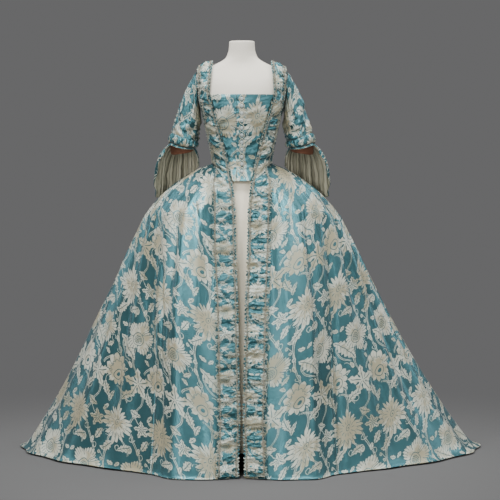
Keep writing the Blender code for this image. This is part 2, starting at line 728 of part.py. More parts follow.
def arm_pieces(side, name, collection):
    """One sleeve with its rust linen lining, ruched edge and lined pagoda flounce."""
    turns = 10 - np.linspace(0, 360, 18, endpoint=False)
    alongs = np.array([0, 0.16, 0.27, 0.39, 0.53, 0.68, 0.84, 1.0])
    cloth(f"sleeve_{name}", grid_of(lambda s, t: sleeve(t, s), alongs, turns), side, "brocade", collection,
          ring=True)

    lining = grid_of(lambda s, t: sleeve(t, s, out=-LINEN - SEAM), np.array([0.68, 0.84, 0.995]), turns)
    cloth(f"sleeve_lining_{name}", lining, side, "sleeve_linen", collection, LINEN, ring=True)

    def ruche(along, turn):
        waves = np.abs(np.sin(RUCHE_WAVES / 2 * np.radians(turn))) ** 0.7
        swell = PUFF_HEIGHT * 0.6 * waves * np.sin(math.pi * (along - 0.84) / 0.15)
        return sleeve(turn, along, out=SILK + 0.0012 + swell)

    ruche_turns = -np.linspace(0, 360, RUCHE_WAVES * 2, endpoint=False)
    ruche_grid = grid_of(ruche, np.array([0.84, 0.888, 0.942, 0.99]), ruche_turns)
    cloth(f"sleeve_ruche_{name}", ruche_grid, side, "brocade", collection, LINEN, ring=True)

    falls = np.array([0, 0.28, 0.62, 1.0])
    hem_turns = -np.linspace(0, 360, FLOUNCE_WAVES * 4, endpoint=False)
    outer = grid_of(lambda f, t: flounce(t, f), falls, hem_turns)
    cloth(f"flounce_{name}", outer, side, "brocade", collection, LINEN, ring=True)
    inner = outer - normals_of(np.concatenate([outer, outer[:, :1]], axis=1))[:, :-1] * (LINEN + 3 * SEAM)
    cloth(f"flounce_lining_{name}", inner, side, "lining", collection, LINEN, ring=True)


def build():
    for old in list(bpy.data.objects):
        bpy.data.objects.remove(old)
    collection = bpy.data.collections.new("robe_a_la_francaise")
    bpy.context.scene.collection.children.link(collection)

    dress_form(collection)
    stomacher_half(1, CLOSING_X + SEAM, "stomacher_left", collection)
    stomacher_half(-1, -CLOSING_X, "stomacher_right", collection)
    buttons(collection)
    back_panel(collection)
    falls = np.concatenate([[0, 0.05, 0.11, 0.18], mix(SACK_WAIST_SHARE, 1, SKIRT_ROWS)])
    widths = np.linspace(1, -1, 23)
    cloth("sack_back", grid_of(lambda f, q: sack(q, f), falls, widths), 1, "brocade", collection)
    for side, name in ((1, "left"), (-1, "right")):
        bodice(side, name, collection)
        corner = math.sqrt((SHOULDER_HEIGHT - NECKLINE_HEIGHT) / (SHOULDER_HEIGHT - UNDERARM_HEIGHT))
        overs = np.concatenate([[-1, -corner], np.linspace(-0.78, 1, 11)])
        strap = grid_of(strap_point, np.linspace(0, 1, 4), overs)
        cloth(f"shoulder_{name}", strap, side, "brocade", collection)
        skirt_half(side, name, collection)
        robing(side, name, collection)
        arm_pieces(side, name, collection)


build()
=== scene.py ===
# %% [markdown]
# # A robe a la francaise, dressed over its frame
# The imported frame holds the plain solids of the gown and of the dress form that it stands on. This
# script gives each of them its visible surface: fine cloth with folds and creases, a woven flower
# pattern, ruched bands, buttons, braid and lining. Everything is in metres, +Z is up, -Y is the front
# and +X is the wearer's left.

# %% Load the frame
import math

import bpy
import numpy as np
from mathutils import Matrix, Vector


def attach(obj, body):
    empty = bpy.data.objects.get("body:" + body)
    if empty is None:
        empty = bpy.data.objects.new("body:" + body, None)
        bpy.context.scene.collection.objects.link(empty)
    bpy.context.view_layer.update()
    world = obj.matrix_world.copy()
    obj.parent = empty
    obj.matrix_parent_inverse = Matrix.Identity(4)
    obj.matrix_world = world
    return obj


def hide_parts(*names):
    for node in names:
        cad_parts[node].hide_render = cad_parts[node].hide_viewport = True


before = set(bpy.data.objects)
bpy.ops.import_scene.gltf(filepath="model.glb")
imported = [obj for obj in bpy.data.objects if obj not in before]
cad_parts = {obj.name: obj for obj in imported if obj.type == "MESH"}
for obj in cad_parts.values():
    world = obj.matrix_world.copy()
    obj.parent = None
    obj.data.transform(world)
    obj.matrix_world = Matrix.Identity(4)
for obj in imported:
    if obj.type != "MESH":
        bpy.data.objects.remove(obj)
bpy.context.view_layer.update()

# %% [markdown]
# ## Camera
# A long lens from six metres shows the gown almost flat, as in a catalogue picture. It stands at chest
# height and looks down a little, so that the hem's curve and the tops of the hips show.

# %% Camera
CAMERA_PLACE = (0.028, -6.0, 1.05)
CAMERA_DOWN_DEG = 3.15
CAMERA_LENS = 124.4

lens = bpy.data.cameras.new("camera")
lens.lens = CAMERA_LENS
lens.sensor_width = 36
camera = bpy.data.objects.new("camera", lens)
camera.location = CAMERA_PLACE
camera.rotation_euler = (math.radians(90 - CAMERA_DOWN_DEG), 0, 0)
bpy.context.scene.collection.objects.link(camera)
bpy.context.scene.camera = camera

# %% [markdown]
# ## Light and floor
# Satin is judged by its highlights, so the nine lamps are large and soft: two above, a key and a side
# lamp, two near ones that give the skirt its gleams, a low one in front, and two behind for the edges.
# The floor is plain and pale near the gown. Farther out its own colour fades to black and it glows with
# painted light in the backdrop's colour, so that it fades into the backdrop.

# %% Light and floor
LAMPS = {
    "top": ((-0.5, -1.0, 4.8), 1.8, 255),
    "key": ((-3.2, -3.0, 3.8), 1.4, 75),
    "gleam right": ((-1.20, -2.1, 1.80), 0.55, 27),
    "gleam left": ((1.45, -2.1, 1.80), 0.55, 25),
    "front": ((-0.8, -6.6, 0.7), 1.3, 130),
    "over": ((0.9, 0.6, 4.6), 2.4, 85),
    "rim left": ((3.6, 1.6, 3.4), 2.2, 90),
    "rim right": ((-3.6, 1.6, 3.4), 2.2, 70),
    "side": ((4.2, -2.6, 2.6), 1.4, 60),
}
LAMP_AIM = Vector((0, 0, 0.75))
BACKDROP = (0.140, 0.140, 0.142)
FLOOR_RADIUS = 14
FLOOR_PAINT = 0.10
# Painted light: between these distances the floor's own colour fades out and it glows in the backdrop's
# colour.
FLOOR_GLOW_START = 0.5
FLOOR_GLOW_END = 2.0

for name, (place, size, power) in LAMPS.items():
    light = bpy.data.lights.new(name, "AREA")
    light.shape = "DISK"
    light.size = size
    light.energy = power
    lamp = bpy.data.objects.new(name, light)
    lamp.location = place
    lamp.rotation_mode = "QUATERNION"
    lamp.rotation_quaternion = (LAMP_AIM - Vector(place)).to_track_quat("-Z", "Y")
    bpy.context.scene.collection.objects.link(lamp)

world = bpy.data.worlds.new("studio")
world.use_nodes = True
world.node_tree.nodes["Background"].inputs["Color"].default_value = (*BACKDROP, 1)
bpy.context.scene.world = world

bpy.ops.mesh.primitive_circle_add(vertices=96, radius=FLOOR_RADIUS, fill_type="NGON",
                                  location=(0, 0, -0.0005))
floor = bpy.context.object
floor.name = "floor"
floor_paint_and_glow = bpy.data.materials.new("floor_paint_and_glow")
floor_paint_and_glow.use_nodes = True
floor_nodes, floor_links = floor_paint_and_glow.node_tree.nodes, floor_paint_and_glow.node_tree.links
floor_shader = floor_nodes["Principled BSDF"]
floor_shader.inputs["Roughness"].default_value = 0.9
floor_shader.inputs["Specular IOR Level"].default_value = 0.0
floor_shader.inputs["Emission Color"].default_value = (*BACKDROP, 1)
away = floor_nodes.new("ShaderNodeVectorMath")
away.operation = "LENGTH"
floor_links.new(floor_nodes.new("ShaderNodeTexCoord").outputs["Object"], away.inputs[0])
# Painted light: farther from the gown the floor glows in the backdrop's colour while its own colour fades
# out.
fade = floor_nodes.new("ShaderNodeMapRange")
fade.interpolation_type = "SMOOTHSTEP"
fade.inputs["From Min"].default_value = FLOOR_GLOW_START
fade.inputs["From Max"].default_value = FLOOR_GLOW_END
floor_links.new(away.outputs["Value"], fade.inputs["Value"])
paint = floor_nodes.new("ShaderNodeMapRange")
paint.inputs["To Min"].default_value = FLOOR_PAINT
paint.inputs["To Max"].default_value = 0.0
floor_links.new(fade.outputs["Result"], paint.inputs["Value"])
floor_links.new(fade.outputs["Result"], floor_shader.inputs["Emission Strength"])
floor_links.new(paint.outputs["Result"], floor_shader.inputs["Base Color"])
floor.data.materials.append(floor_paint_and_glow)

# %% [markdown]
# ## Reading smooth curves from short tables
# The gown is a few smooth surfaces, and each is steered by a short table of sizes. These helpers read a
# table between its rows, mix two values, and fade softly from 0 to 1.

# %% Table helpers
def columns(names, rows):
    """A table as a dictionary of named columns."""
    return dict(zip(names.split(), np.array(rows, float).T))


def through(at, values, t):
    """Reads a smooth curve through the rows of a table."""
    t = np.clip(np.asarray(t, float), at[0], at[-1])
    slope = np.gradient(values, at)
    i = np.clip(np.searchsorted(at, t, side="right") - 1, 0, len(at) - 2)
    step = at[i + 1] - at[i]
    s = (t - at[i]) / step
    start = (2 * s**3 - 3 * s**2 + 1) * values[i] + (s**3 - 2 * s**2 + s) * step * slope[i]
    return start + (3 * s**2 - 2 * s**3) * values[i + 1] + (s**3 - s**2) * step * slope[i + 1]


def read(table, name, t):
    """One column of a table, read at a place in its first column."""
    return through(next(iter(table.values())), table[name], t)


def soft_step(low, high, t):
    """Rises softly from 0 at low to 1 at high."""
    s = np.clip((np.asarray(t, float) - low) / (high - low), 0, 1)
    return s * s * (3 - 2 * s)


def mix(a, b, share):
    return a * (1 - share) + b * share


def points(x, y, z):
    return np.stack(np.broadcast_arrays(x, y, z), axis=-1)


def hump(t, middle, width):
    """A soft bump of height 1 about a middle."""
    return np.exp(-(((t - middle) / width) ** 2))


def ripple(u, v, size, seed):
    """Uneven soft waves of about this size, from -1 to 1, the same each run."""
    draw = np.random.default_rng(seed)
    turns = draw.uniform(0, 6.28, 7)
    phases = draw.uniform(0, 6.28, 7)
    stretches = draw.uniform(0.7, 1.5, 7)
    total = 0
    for turn, phase, stretch in zip(turns, phases, stretches):
        total = total + np.sin((u * math.cos(turn) + v * math.sin(turn)) * 6.28 / (size * stretch) + phase)
    return total / 4


# %% [markdown]
# ## The figure
# A padded form is a stack of rounded rings. One table gives each ring's height, half width and depth in
# front and behind, and the same rings later carry the bodice, so the cloth always fits the form.

# %% The figure
SILK = 0.0016
LINEN = 0.0012
SEAM = 0.0005
EASE = 0.0010
WAIST_HEIGHT = 1.022
UNDERARM_HEIGHT = 1.235
NECKLINE_HEIGHT = 1.256
STOMACHER_FOOT = 0.962
SHOULDER_SEAM_HEIGHT = 1.318
SHOULDER_HEIGHT = 1.355
ROUNDNESS = 2.3
FRONT_DIP = 0.042

BODY = columns(
    "height half_width front back",
    [
        (0.940, 0.122, 0.160, 0.104),
        (0.985, 0.107, 0.115, 0.092),
        (1.030, 0.103, 0.099, 0.086),
        (1.080, 0.111, 0.102, 0.088),
        (1.130, 0.122, 0.109, 0.093),
        (1.180, 0.134, 0.117, 0.099),
        (1.230, 0.146, 0.119, 0.104),
        (1.270, 0.155, 0.112, 0.103),
        (1.300, 0.160, 0.099, 0.097),
        (1.322, 0.160, 0.083, 0.087),
        (1.338, 0.148, 0.069, 0.077),
        (1.351, 0.122, 0.058, 0.069),
        (1.364, 0.090, 0.050, 0.061),
        (1.380, 0.062, 0.046, 0.054),
        (1.400, 0.050, 0.044, 0.050),
        (1.424, 0.046, 0.044, 0.048),
        (1.442, 0.045, 0.043, 0.046),
    ],
)


def oval(angle_deg, half_width, front, back):
    """A point of a rounded ring, with the angle measured from the front (-Y) towards +X."""
    a = np.radians(angle_deg)
    power = 2 / ROUNDNESS
    across, forward = np.sin(a), np.cos(a)
    depth = np.where(forward > 0, front, back)
    x = half_width * np.sign(across) * np.abs(across) ** power
    y = -depth * np.sign(forward) * np.abs(forward) ** power
    return x, y


def body_ring(angle_deg, height, out=0.0):
    """A point of the figure at this angle and height, moved out."""
    sizes = [read(BODY, name, height) + out for name in ("half_width", "front", "back")]
    return points(*oval(angle_deg, *sizes), height)


def body_depth(x, height, name):
    """How far the figure reaches forwards or back at this distance from its middle."""
    share = np.clip(np.abs(x) / read(BODY, "half_width", height), 0, 1)
    return read(BODY, name, height) * (1 - share**ROUNDNESS) ** (1 / ROUNDNESS)


def waist_line(angle_deg):
    """The height of the waist seam, which dips below the waist in front."""
    return WAIST_HEIGHT - FRONT_DIP * (1 - soft_step(22, 74, angle_deg))


# %% [markdown]
# ## The skirt's shape
# Each half of the skirt is one surface, read by two shares: how far round from the front edge, and how
# far down from the waist. Twelve ribs say where the cloth leaves the waist, crosses the hip hoop and
# meets the floor. Wide folds and small hip pleats are added on top as soft ridges.

# %% The skirt's shape
HIP_SHARE = 0.24
HIP_ROUNDING = 0.35
SIDE_FLARE = 0.30
FRONT_SEAM_SHARE = 0.345
HEM_REST = 0.0012
HEM_CURL = 2.2

RIBS = columns(
    "share waist_deg hip_x hip_y hip_z hem_x hem_y hem_z turn",
    [
        (0.00, 17, 0.022, -0.166, 0.850, 0.010, -0.442, 0.008, 0.004),
        (0.12, 36, 0.112, -0.176, 0.852, 0.118, -0.466, 0.006, 0.004),
        (0.22, 50, 0.184, -0.166, 0.852, 0.218, -0.460, 0.005, 0.004),
        (0.29, 59, 0.226, -0.148, 0.850, 0.270, -0.424, 0.005, 0.004),
        (0.345, 67, 0.256, -0.122, 0.846, 0.306, -0.372, 0.005, 0.006),
        (0.42, 76, 0.294, -0.082, 0.840, 0.420, -0.296, 0.004, 0.010),
        (0.52, 88, 0.326, -0.030, 0.834, 0.592, -0.174, 0.003, 0.014),
        (0.61, 98, 0.334, 0.014, 0.832, 0.712, -0.050, 0.003, 0.018),
        (0.68, 106, 0.330, 0.046, 0.834, 0.778, 0.056, 0.003, 0.022),
        (0.76, 116, 0.314, 0.080, 0.838, 0.806, 0.190, 0.003, 0.028),
        (0.88, 131, 0.262, 0.120, 0.848, 0.724, 0.430, 0.003, 0.036),
        (1.00, 146, 0.200, 0.146, 0.860, 0.510, 0.655, 0.003, 0.044),
    ],
)

FOLDS = columns(
    "share width depth lean start end",
    [
        (0.105, 0.016, -0.006, -0.010, 0.04, 0.75),
        (0.150, 0.034, 0.012, -0.020, 0.06, 1.20),
        (0.215, 0.030, 0.014, 0.020, 0.10, 1.20),
        (0.265, 0.022, -0.010, 0.045, 0.12, 1.20),
        (0.320, 0.030, 0.014, 0.050, 0.10, 1.20),
        (0.425, 0.036, 0.020, 0.020, 0.14, 1.20),
        (0.530, 0.040, 0.018, 0.010, 0.14, 1.20),
        (0.640, 0.034, 0.020, 0.020, 0.14, 1.20),
        (0.745, 0.036, 0.024, 0.010, 0.14, 1.20),
        (0.860, 0.036, 0.024, 0.000, 0.14, 1.20),
    ],
)

HIP_PLEATS = columns(
    "share width depth",
    [
        (0.40, 0.020, 0.006),
        (0.47, 0.020, 0.007),
        (0.54, 0.020, 0.006),
        (0.61, 0.022, 0.007),
        (0.68, 0.022, 0.006),
        (0.76, 0.024, 0.006),
    ],
)

CREASE_COLUMNS = "share_1 fall_1 share_2 fall_2 width depth"
LEFT_CREASES = columns(
    CREASE_COLUMNS,
    [
        (0.165, 0.130, 0.132, 0.330, 0.011, -0.006),
        (0.132, 0.330, 0.118, 0.900, 0.014, -0.004),
        (0.185, 0.240, 0.180, 0.980, 0.030, 0.006),
        (0.255, 0.450, 0.265, 0.960, 0.016, -0.005),
        (0.300, 0.120, 0.345, 0.420, 0.014, -0.006),
        (0.385, 0.380, 0.352, 1.050, 0.011, -0.018),
        (0.470, 0.140, 0.480, 0.560, 0.018, -0.007),
        (0.500, 0.520, 0.470, 1.050, 0.022, -0.008),
        (0.590, 0.200, 0.585, 0.900, 0.022, -0.008),
        (0.690, 0.150, 0.700, 0.800, 0.020, -0.009),
        (0.800, 0.200, 0.800, 0.950, 0.022, -0.010),
        (0.925, 0.200, 0.930, 0.900, 0.020, -0.008),
    ],
)
RIGHT_CREASES = columns(
    CREASE_COLUMNS,
    [
        (0.205, 0.180, 0.128, 0.300, 0.009, -0.012),
        (0.128, 0.300, 0.112, 0.640, 0.010, -0.009),
        (0.185, 0.260, 0.190, 0.980, 0.032, 0.007),
        (0.235, 0.560, 0.225, 1.050, 0.016, -0.005),
        (0.335, 0.360, 0.292, 1.050, 0.011, -0.018),
        (0.400, 0.140, 0.430, 0.520, 0.016, -0.007),
        (0.480, 0.480, 0.450, 1.050, 0.022, -0.008),
        (0.560, 0.150, 0.575, 0.700, 0.018, -0.008),
        (0.660, 0.250, 0.640, 1.000, 0.022, -0.009),
        (0.760, 0.150, 0.780, 0.800, 0.022, -0.009),
        (0.900, 0.250, 0.905, 0.950, 0.022, -0.009),
    ],
)
HALVES = {
    "left": {"side": 1, "spread": 0.04, "calm": 0.50, "creases": LEFT_CREASES, "seed": 11},
    "right": {"side": -1, "spread": -0.035, "calm": 0.72, "creases": RIGHT_CREASES, "seed": 23},
}
FRONT_SWELL = 0.026
PLEAT_LOFT = 1.6
SKIRT_RIPPLE = 0.0020
WAIST_GAP = 0.0016
FOLD_AXIS_Y = -0.05


def fold_height(share, fall, half):
    """How far folds, hip pleats and creases lift the skirt from its plain shape."""
    total = np.zeros_like(share)
    for at, width, depth, lean, start, end in zip(*FOLDS.values()):
        rise = soft_step(start, start + 0.25, fall) * (1 - soft_step(end - 0.25, end, fall))
        total += depth * rise * hump(share, at + lean * (fall - start), width)
    for at, width, depth in zip(*HIP_PLEATS.values()):
        rise = soft_step(0.0, 0.04, fall) * (1 - soft_step(0.10, 0.30, fall))
        total += PLEAT_LOFT * depth * rise * hump(share, at, width)
    for share_1, fall_1, share_2, fall_2, width, depth in zip(*half["creases"].values()):
        down = np.clip((fall - fall_1) / (fall_2 - fall_1), 0, 1)
        ends = soft_step(fall_1 - 0.04, fall_1 + 0.10, fall) * (1 - soft_step(fall_2 - 0.14, fall_2, fall))
        total += depth * ends * hump(share, mix(share_1, share_2, down), width * (0.7 + 0.6 * down))
    total = total * (1 - half["calm"] * soft_step(0.40, 0.70, fall) * (1 - soft_step(0.34, 0.50, share)))
    total += SKIRT_RIPPLE * ripple(share * 1.3, fall * 0.5, 0.13, half["seed"]) * soft_step(0.06, 0.30, fall)
    total = total * soft_step(0.0, 0.09, share) * (1 - soft_step(0.95, 1.0, share))
    below_hip = np.clip((fall - HIP_SHARE) / (0.94 - HIP_SHARE), 0, 1)
    return total + FRONT_SWELL * np.sin(below_hip * math.pi) ** 2 * (1 - soft_step(0.22, 0.40, share))


def skirt(share, fall, half):
    """A point of one half of the skirt, both halves read at +X."""
    share, fall = np.broadcast_arrays(np.asarray(share, float), np.asarray(fall, float))
    rib = {name: read(RIBS, name, share) for name in RIBS}
    rib["turn"] = np.maximum(rib["turn"], np.minimum(rib["turn"] * HEM_CURL, 0.028))
    waist = body_ring(rib["waist_deg"], waist_line(rib["waist_deg"]) - SILK - WAIST_GAP, out=EASE)
    waist_x, waist_y, waist_z = np.moveaxis(waist, -1, 0)

    dome = np.clip(fall / HIP_SHARE, 0, 1)
    out = mix(dome, np.sin(dome * math.pi / 2), HIP_ROUNDING)
    down = mix(dome, 1 - np.cos(dome * math.pi / 2), HIP_ROUNDING)

    drop = np.clip((fall - HIP_SHARE) / (1 - HIP_SHARE), 0, 1)
    spread = drop - SIDE_FLARE * drop**1.5 * (1 - drop)
    x = mix(waist_x, rib["hip_x"], out) + (rib["hem_x"] - rib["hip_x"]) * spread
    y = mix(waist_y, rib["hip_y"], out) + (rib["hem_y"] - rib["hip_y"]) * spread
    x = x * (1 + half["spread"] * drop**1.3)
    line = rib["hip_z"] * (1 - drop) - rib["turn"] * 1.5 * drop
    z_fall = rib["hem_z"] + (line + np.sqrt(line**2 + rib["turn"] ** 2)) / 2
    z_start = rib["hem_z"] + (rib["hip_z"] + np.sqrt(rib["hip_z"] ** 2 + rib["turn"] ** 2)) / 2
    z = np.where(drop > 0, z_fall, mix(waist_z, z_start, down))
    z = z - (rib["hem_z"] - HEM_REST) * soft_step(0.96, 1.0, fall)

    swell = fold_height(share, fall, half)
    away = np.stack([x, y - FOLD_AXIS_Y], axis=-1)
    away = away / np.linalg.norm(away, axis=-1, keepdims=True)
    return points(x + away[..., 0] * swell, y + away[..., 1] * swell, z)


# %% [markdown]
# ## Cutting and sewing
# A panel is a grid of points, sewn into faces and thickened inwards by a Solidify modifier. Each point
# also remembers where it lay on the flat cloth, in metres. That place is kept as a UV map, so that the
# woven pattern runs over folds as it does on real silk, without stretching.

# %% Cutting and sewing
def normals_of(grid, ring=False):
    """Unit normals of a grid of points, rows crossed with columns."""
    if ring:
        grid = np.concatenate([grid[:, -1:], grid, grid[:, :1]], axis=1)
    n = np.cross(np.gradient(grid, axis=0), np.gradient(grid, axis=1))
    n = n / np.maximum(np.linalg.norm(n, axis=-1, keepdims=True), 1e-12)
    return n[:, 1:-1] if ring else n


def closed_ring(grid):
    """A grid whose first column comes again at its end."""
    return np.concatenate([grid, grid[:, :1]], axis=1)


def steps(grid, axis):
    """How far each point lies along its row (axis 1) or column (axis 0)."""
    length = np.linalg.norm(np.diff(grid, axis=axis), axis=-1)
    pad = np.zeros_like(length[:1] if axis == 0 else length[:, :1])
    return np.cumsum(np.concatenate([pad, length], axis=axis), axis=axis)


def flat_places(grid, ring=False, evenness=0.3):
    """Where each point of a hanging panel lay on the flat cloth: to the right, and up."""
    if ring:
        grid = closed_ring(grid)
    right, down = steps(grid, 1), steps(grid, 0)
    middle = right[int(len(right) * 0.6)][None, :]
    return np.stack([mix(right, middle, evenness), -down], axis=-1)


def new_piece(name, verts, faces, cloths, smooth=True):
    """A mesh in the scene, with its materials."""
    mesh = bpy.data.meshes.new(name)
    mesh.from_pydata(verts, [], faces)
    for cloth in cloths:
        mesh.materials.append(cloth)
    if smooth:
        mesh.shade_smooth()
    piece = bpy.data.objects.new(name, mesh)
    bpy.context.scene.collection.objects.link(piece)
    return piece


def remember_places(piece, places):
    """Keeps the cloth place of each corner of each face."""
    uv = piece.data.uv_layers.new(name="cloth")
    uv.data.foreach_set("uv", places.astype(np.float32).ravel())


def sew(name, grid, flat, cloth, wall=SILK, ring=False, side=1, inside=None):
    """Sews a grid of outer points into a thin closed panel. side -1 mirrors it to the other side."""
    rows, across = grid.shape[:2]
    grid = grid * np.array([side, 1, 1])
    index = np.arange(rows * across).reshape(rows, across)
    place = np.arange(flat.shape[0] * flat.shape[1]).reshape(flat.shape[:2])
    if ring:
        index = closed_ring(index)

    def corners(table):
        quads = np.stack([table[:-1, :-1], table[1:, :-1], table[1:, 1:], table[:-1, 1:]], axis=-1)
        return quads.reshape(-1, 4)[:, :: side]

    faces = corners(index).tolist()
    piece = new_piece(name, grid.reshape(-1, 3).tolist(), faces, (cloth, inside or cloth))
    remember_places(piece, flat.reshape(-1, 2)[corners(place).ravel()])
    thicken = piece.modifiers.new("cloth wall", "SOLIDIFY")
    thicken.thickness = wall
    thicken.offset = -1
    thicken.material_offset = 1
    thicken.use_even_offset = False
    return piece


SHEET_LEAST_AREA = 0.35


def declare(piece, grid, nodes):
    """Attaches a piece of cloth, hides the nodes that it stands for, and prints the size of the cloth that
    shows.
    """
    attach(piece, "root")
    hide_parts(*nodes)
    width = float(steps(grid, 1)[:, -1].max())
    length = float(steps(grid, 0)[-1].max())
    down, right = np.diff(grid, axis=0)[:, :-1], np.diff(grid, axis=1)[:-1]
    area = float(np.linalg.norm(np.cross(down, right), axis=-1).sum())
    area = min(max(area, SHEET_LEAST_AREA * width * length), width * length)
    print(f"{piece.name}: cut {width:.3f} x {length:.3f} m, {area:.3f} m2, "
          f"{grid.shape[0] * grid.shape[1]} points")


def spread_rows(*stops):
    """Evenly spaced shares from 0 to 1, with more rows between the given stops."""
    return np.unique(np.concatenate([np.linspace(a, b, n) for a, b, n in stops]))


# %% [markdown]
# ## Writing a pattern as arithmetic
# The flowers are woven into the silk, so they belong in the material. Each number over the cloth is a
# Math node, and a small class lets plain arithmetic make those nodes. A motif is then a formula: the
# distance from its middle, set against a rim that changes with the turn.

# %% Numbers over the cloth
TURN = 2 * math.pi


class Number:
    """A number that varies over the cloth, held by the output of a node."""

    def __init__(self, tree, socket):
        self.tree = tree
        self.socket = socket

    def math(self, operation, *others, clamp=False):
        node = self.tree.nodes.new("ShaderNodeMath")
        node.operation = operation
        node.use_clamp = clamp
        for place, value in enumerate((self, *others)):
            if isinstance(value, Number):
                self.tree.links.new(value.socket, node.inputs[place])
            else:
                node.inputs[place].default_value = value
        return Number(self.tree, node.outputs[0])

    def __add__(self, other):
        return self.math("ADD", other)

    def __sub__(self, other):
        return self.math("SUBTRACT", other)

    def __mul__(self, other):
        return self.math("MULTIPLY", other)

    def __rsub__(self, other):
        return self.math("MULTIPLY_ADD", -1.0, other)

    def __abs__(self):
        return self.math("ABSOLUTE")

    __radd__ = __add__
    __rmul__ = __mul__

    def saw(self, count):
        """From 0 to 1 and back, this many times in one turn."""
        return (self * (count / TURN)).math("PINGPONG", 0.5) * 2

    def power(self, exponent):
        return self.math("POWER", exponent)

    def cosine(self):
        return self.math("COSINE")

    def sine(self):
        return self.math("SINE")


def least(first, *others):
    """The smallest of some numbers over the cloth."""
    for other in others:
        first = first.math("MINIMUM", other)
    return first


def most(first, *others):
    """The largest of some numbers over the cloth."""
    for other in others:
        first = first.math("MAXIMUM", other)
    return first


# %% [markdown]
# ## The motifs of the brocade
# The silk repeats every 185 mm across and 465 mm down, in straight rows. Each repeat has a large
# many-petalled bloom, a lobed flower with an eye, a fan-shaped peony, a five-leaf star, toothed leaves,
# and winding double stems with buds and tendrils. They are the usual flowers of such silks, drawn here
# from simple curves. Where lines cross a figure, the teal ground shows between its threads.

# %% Motifs
REPEAT_WIDTH = 0.185
REPEAT_HEIGHT = 0.465
LINE = 0.0014
STEM = 0.0011


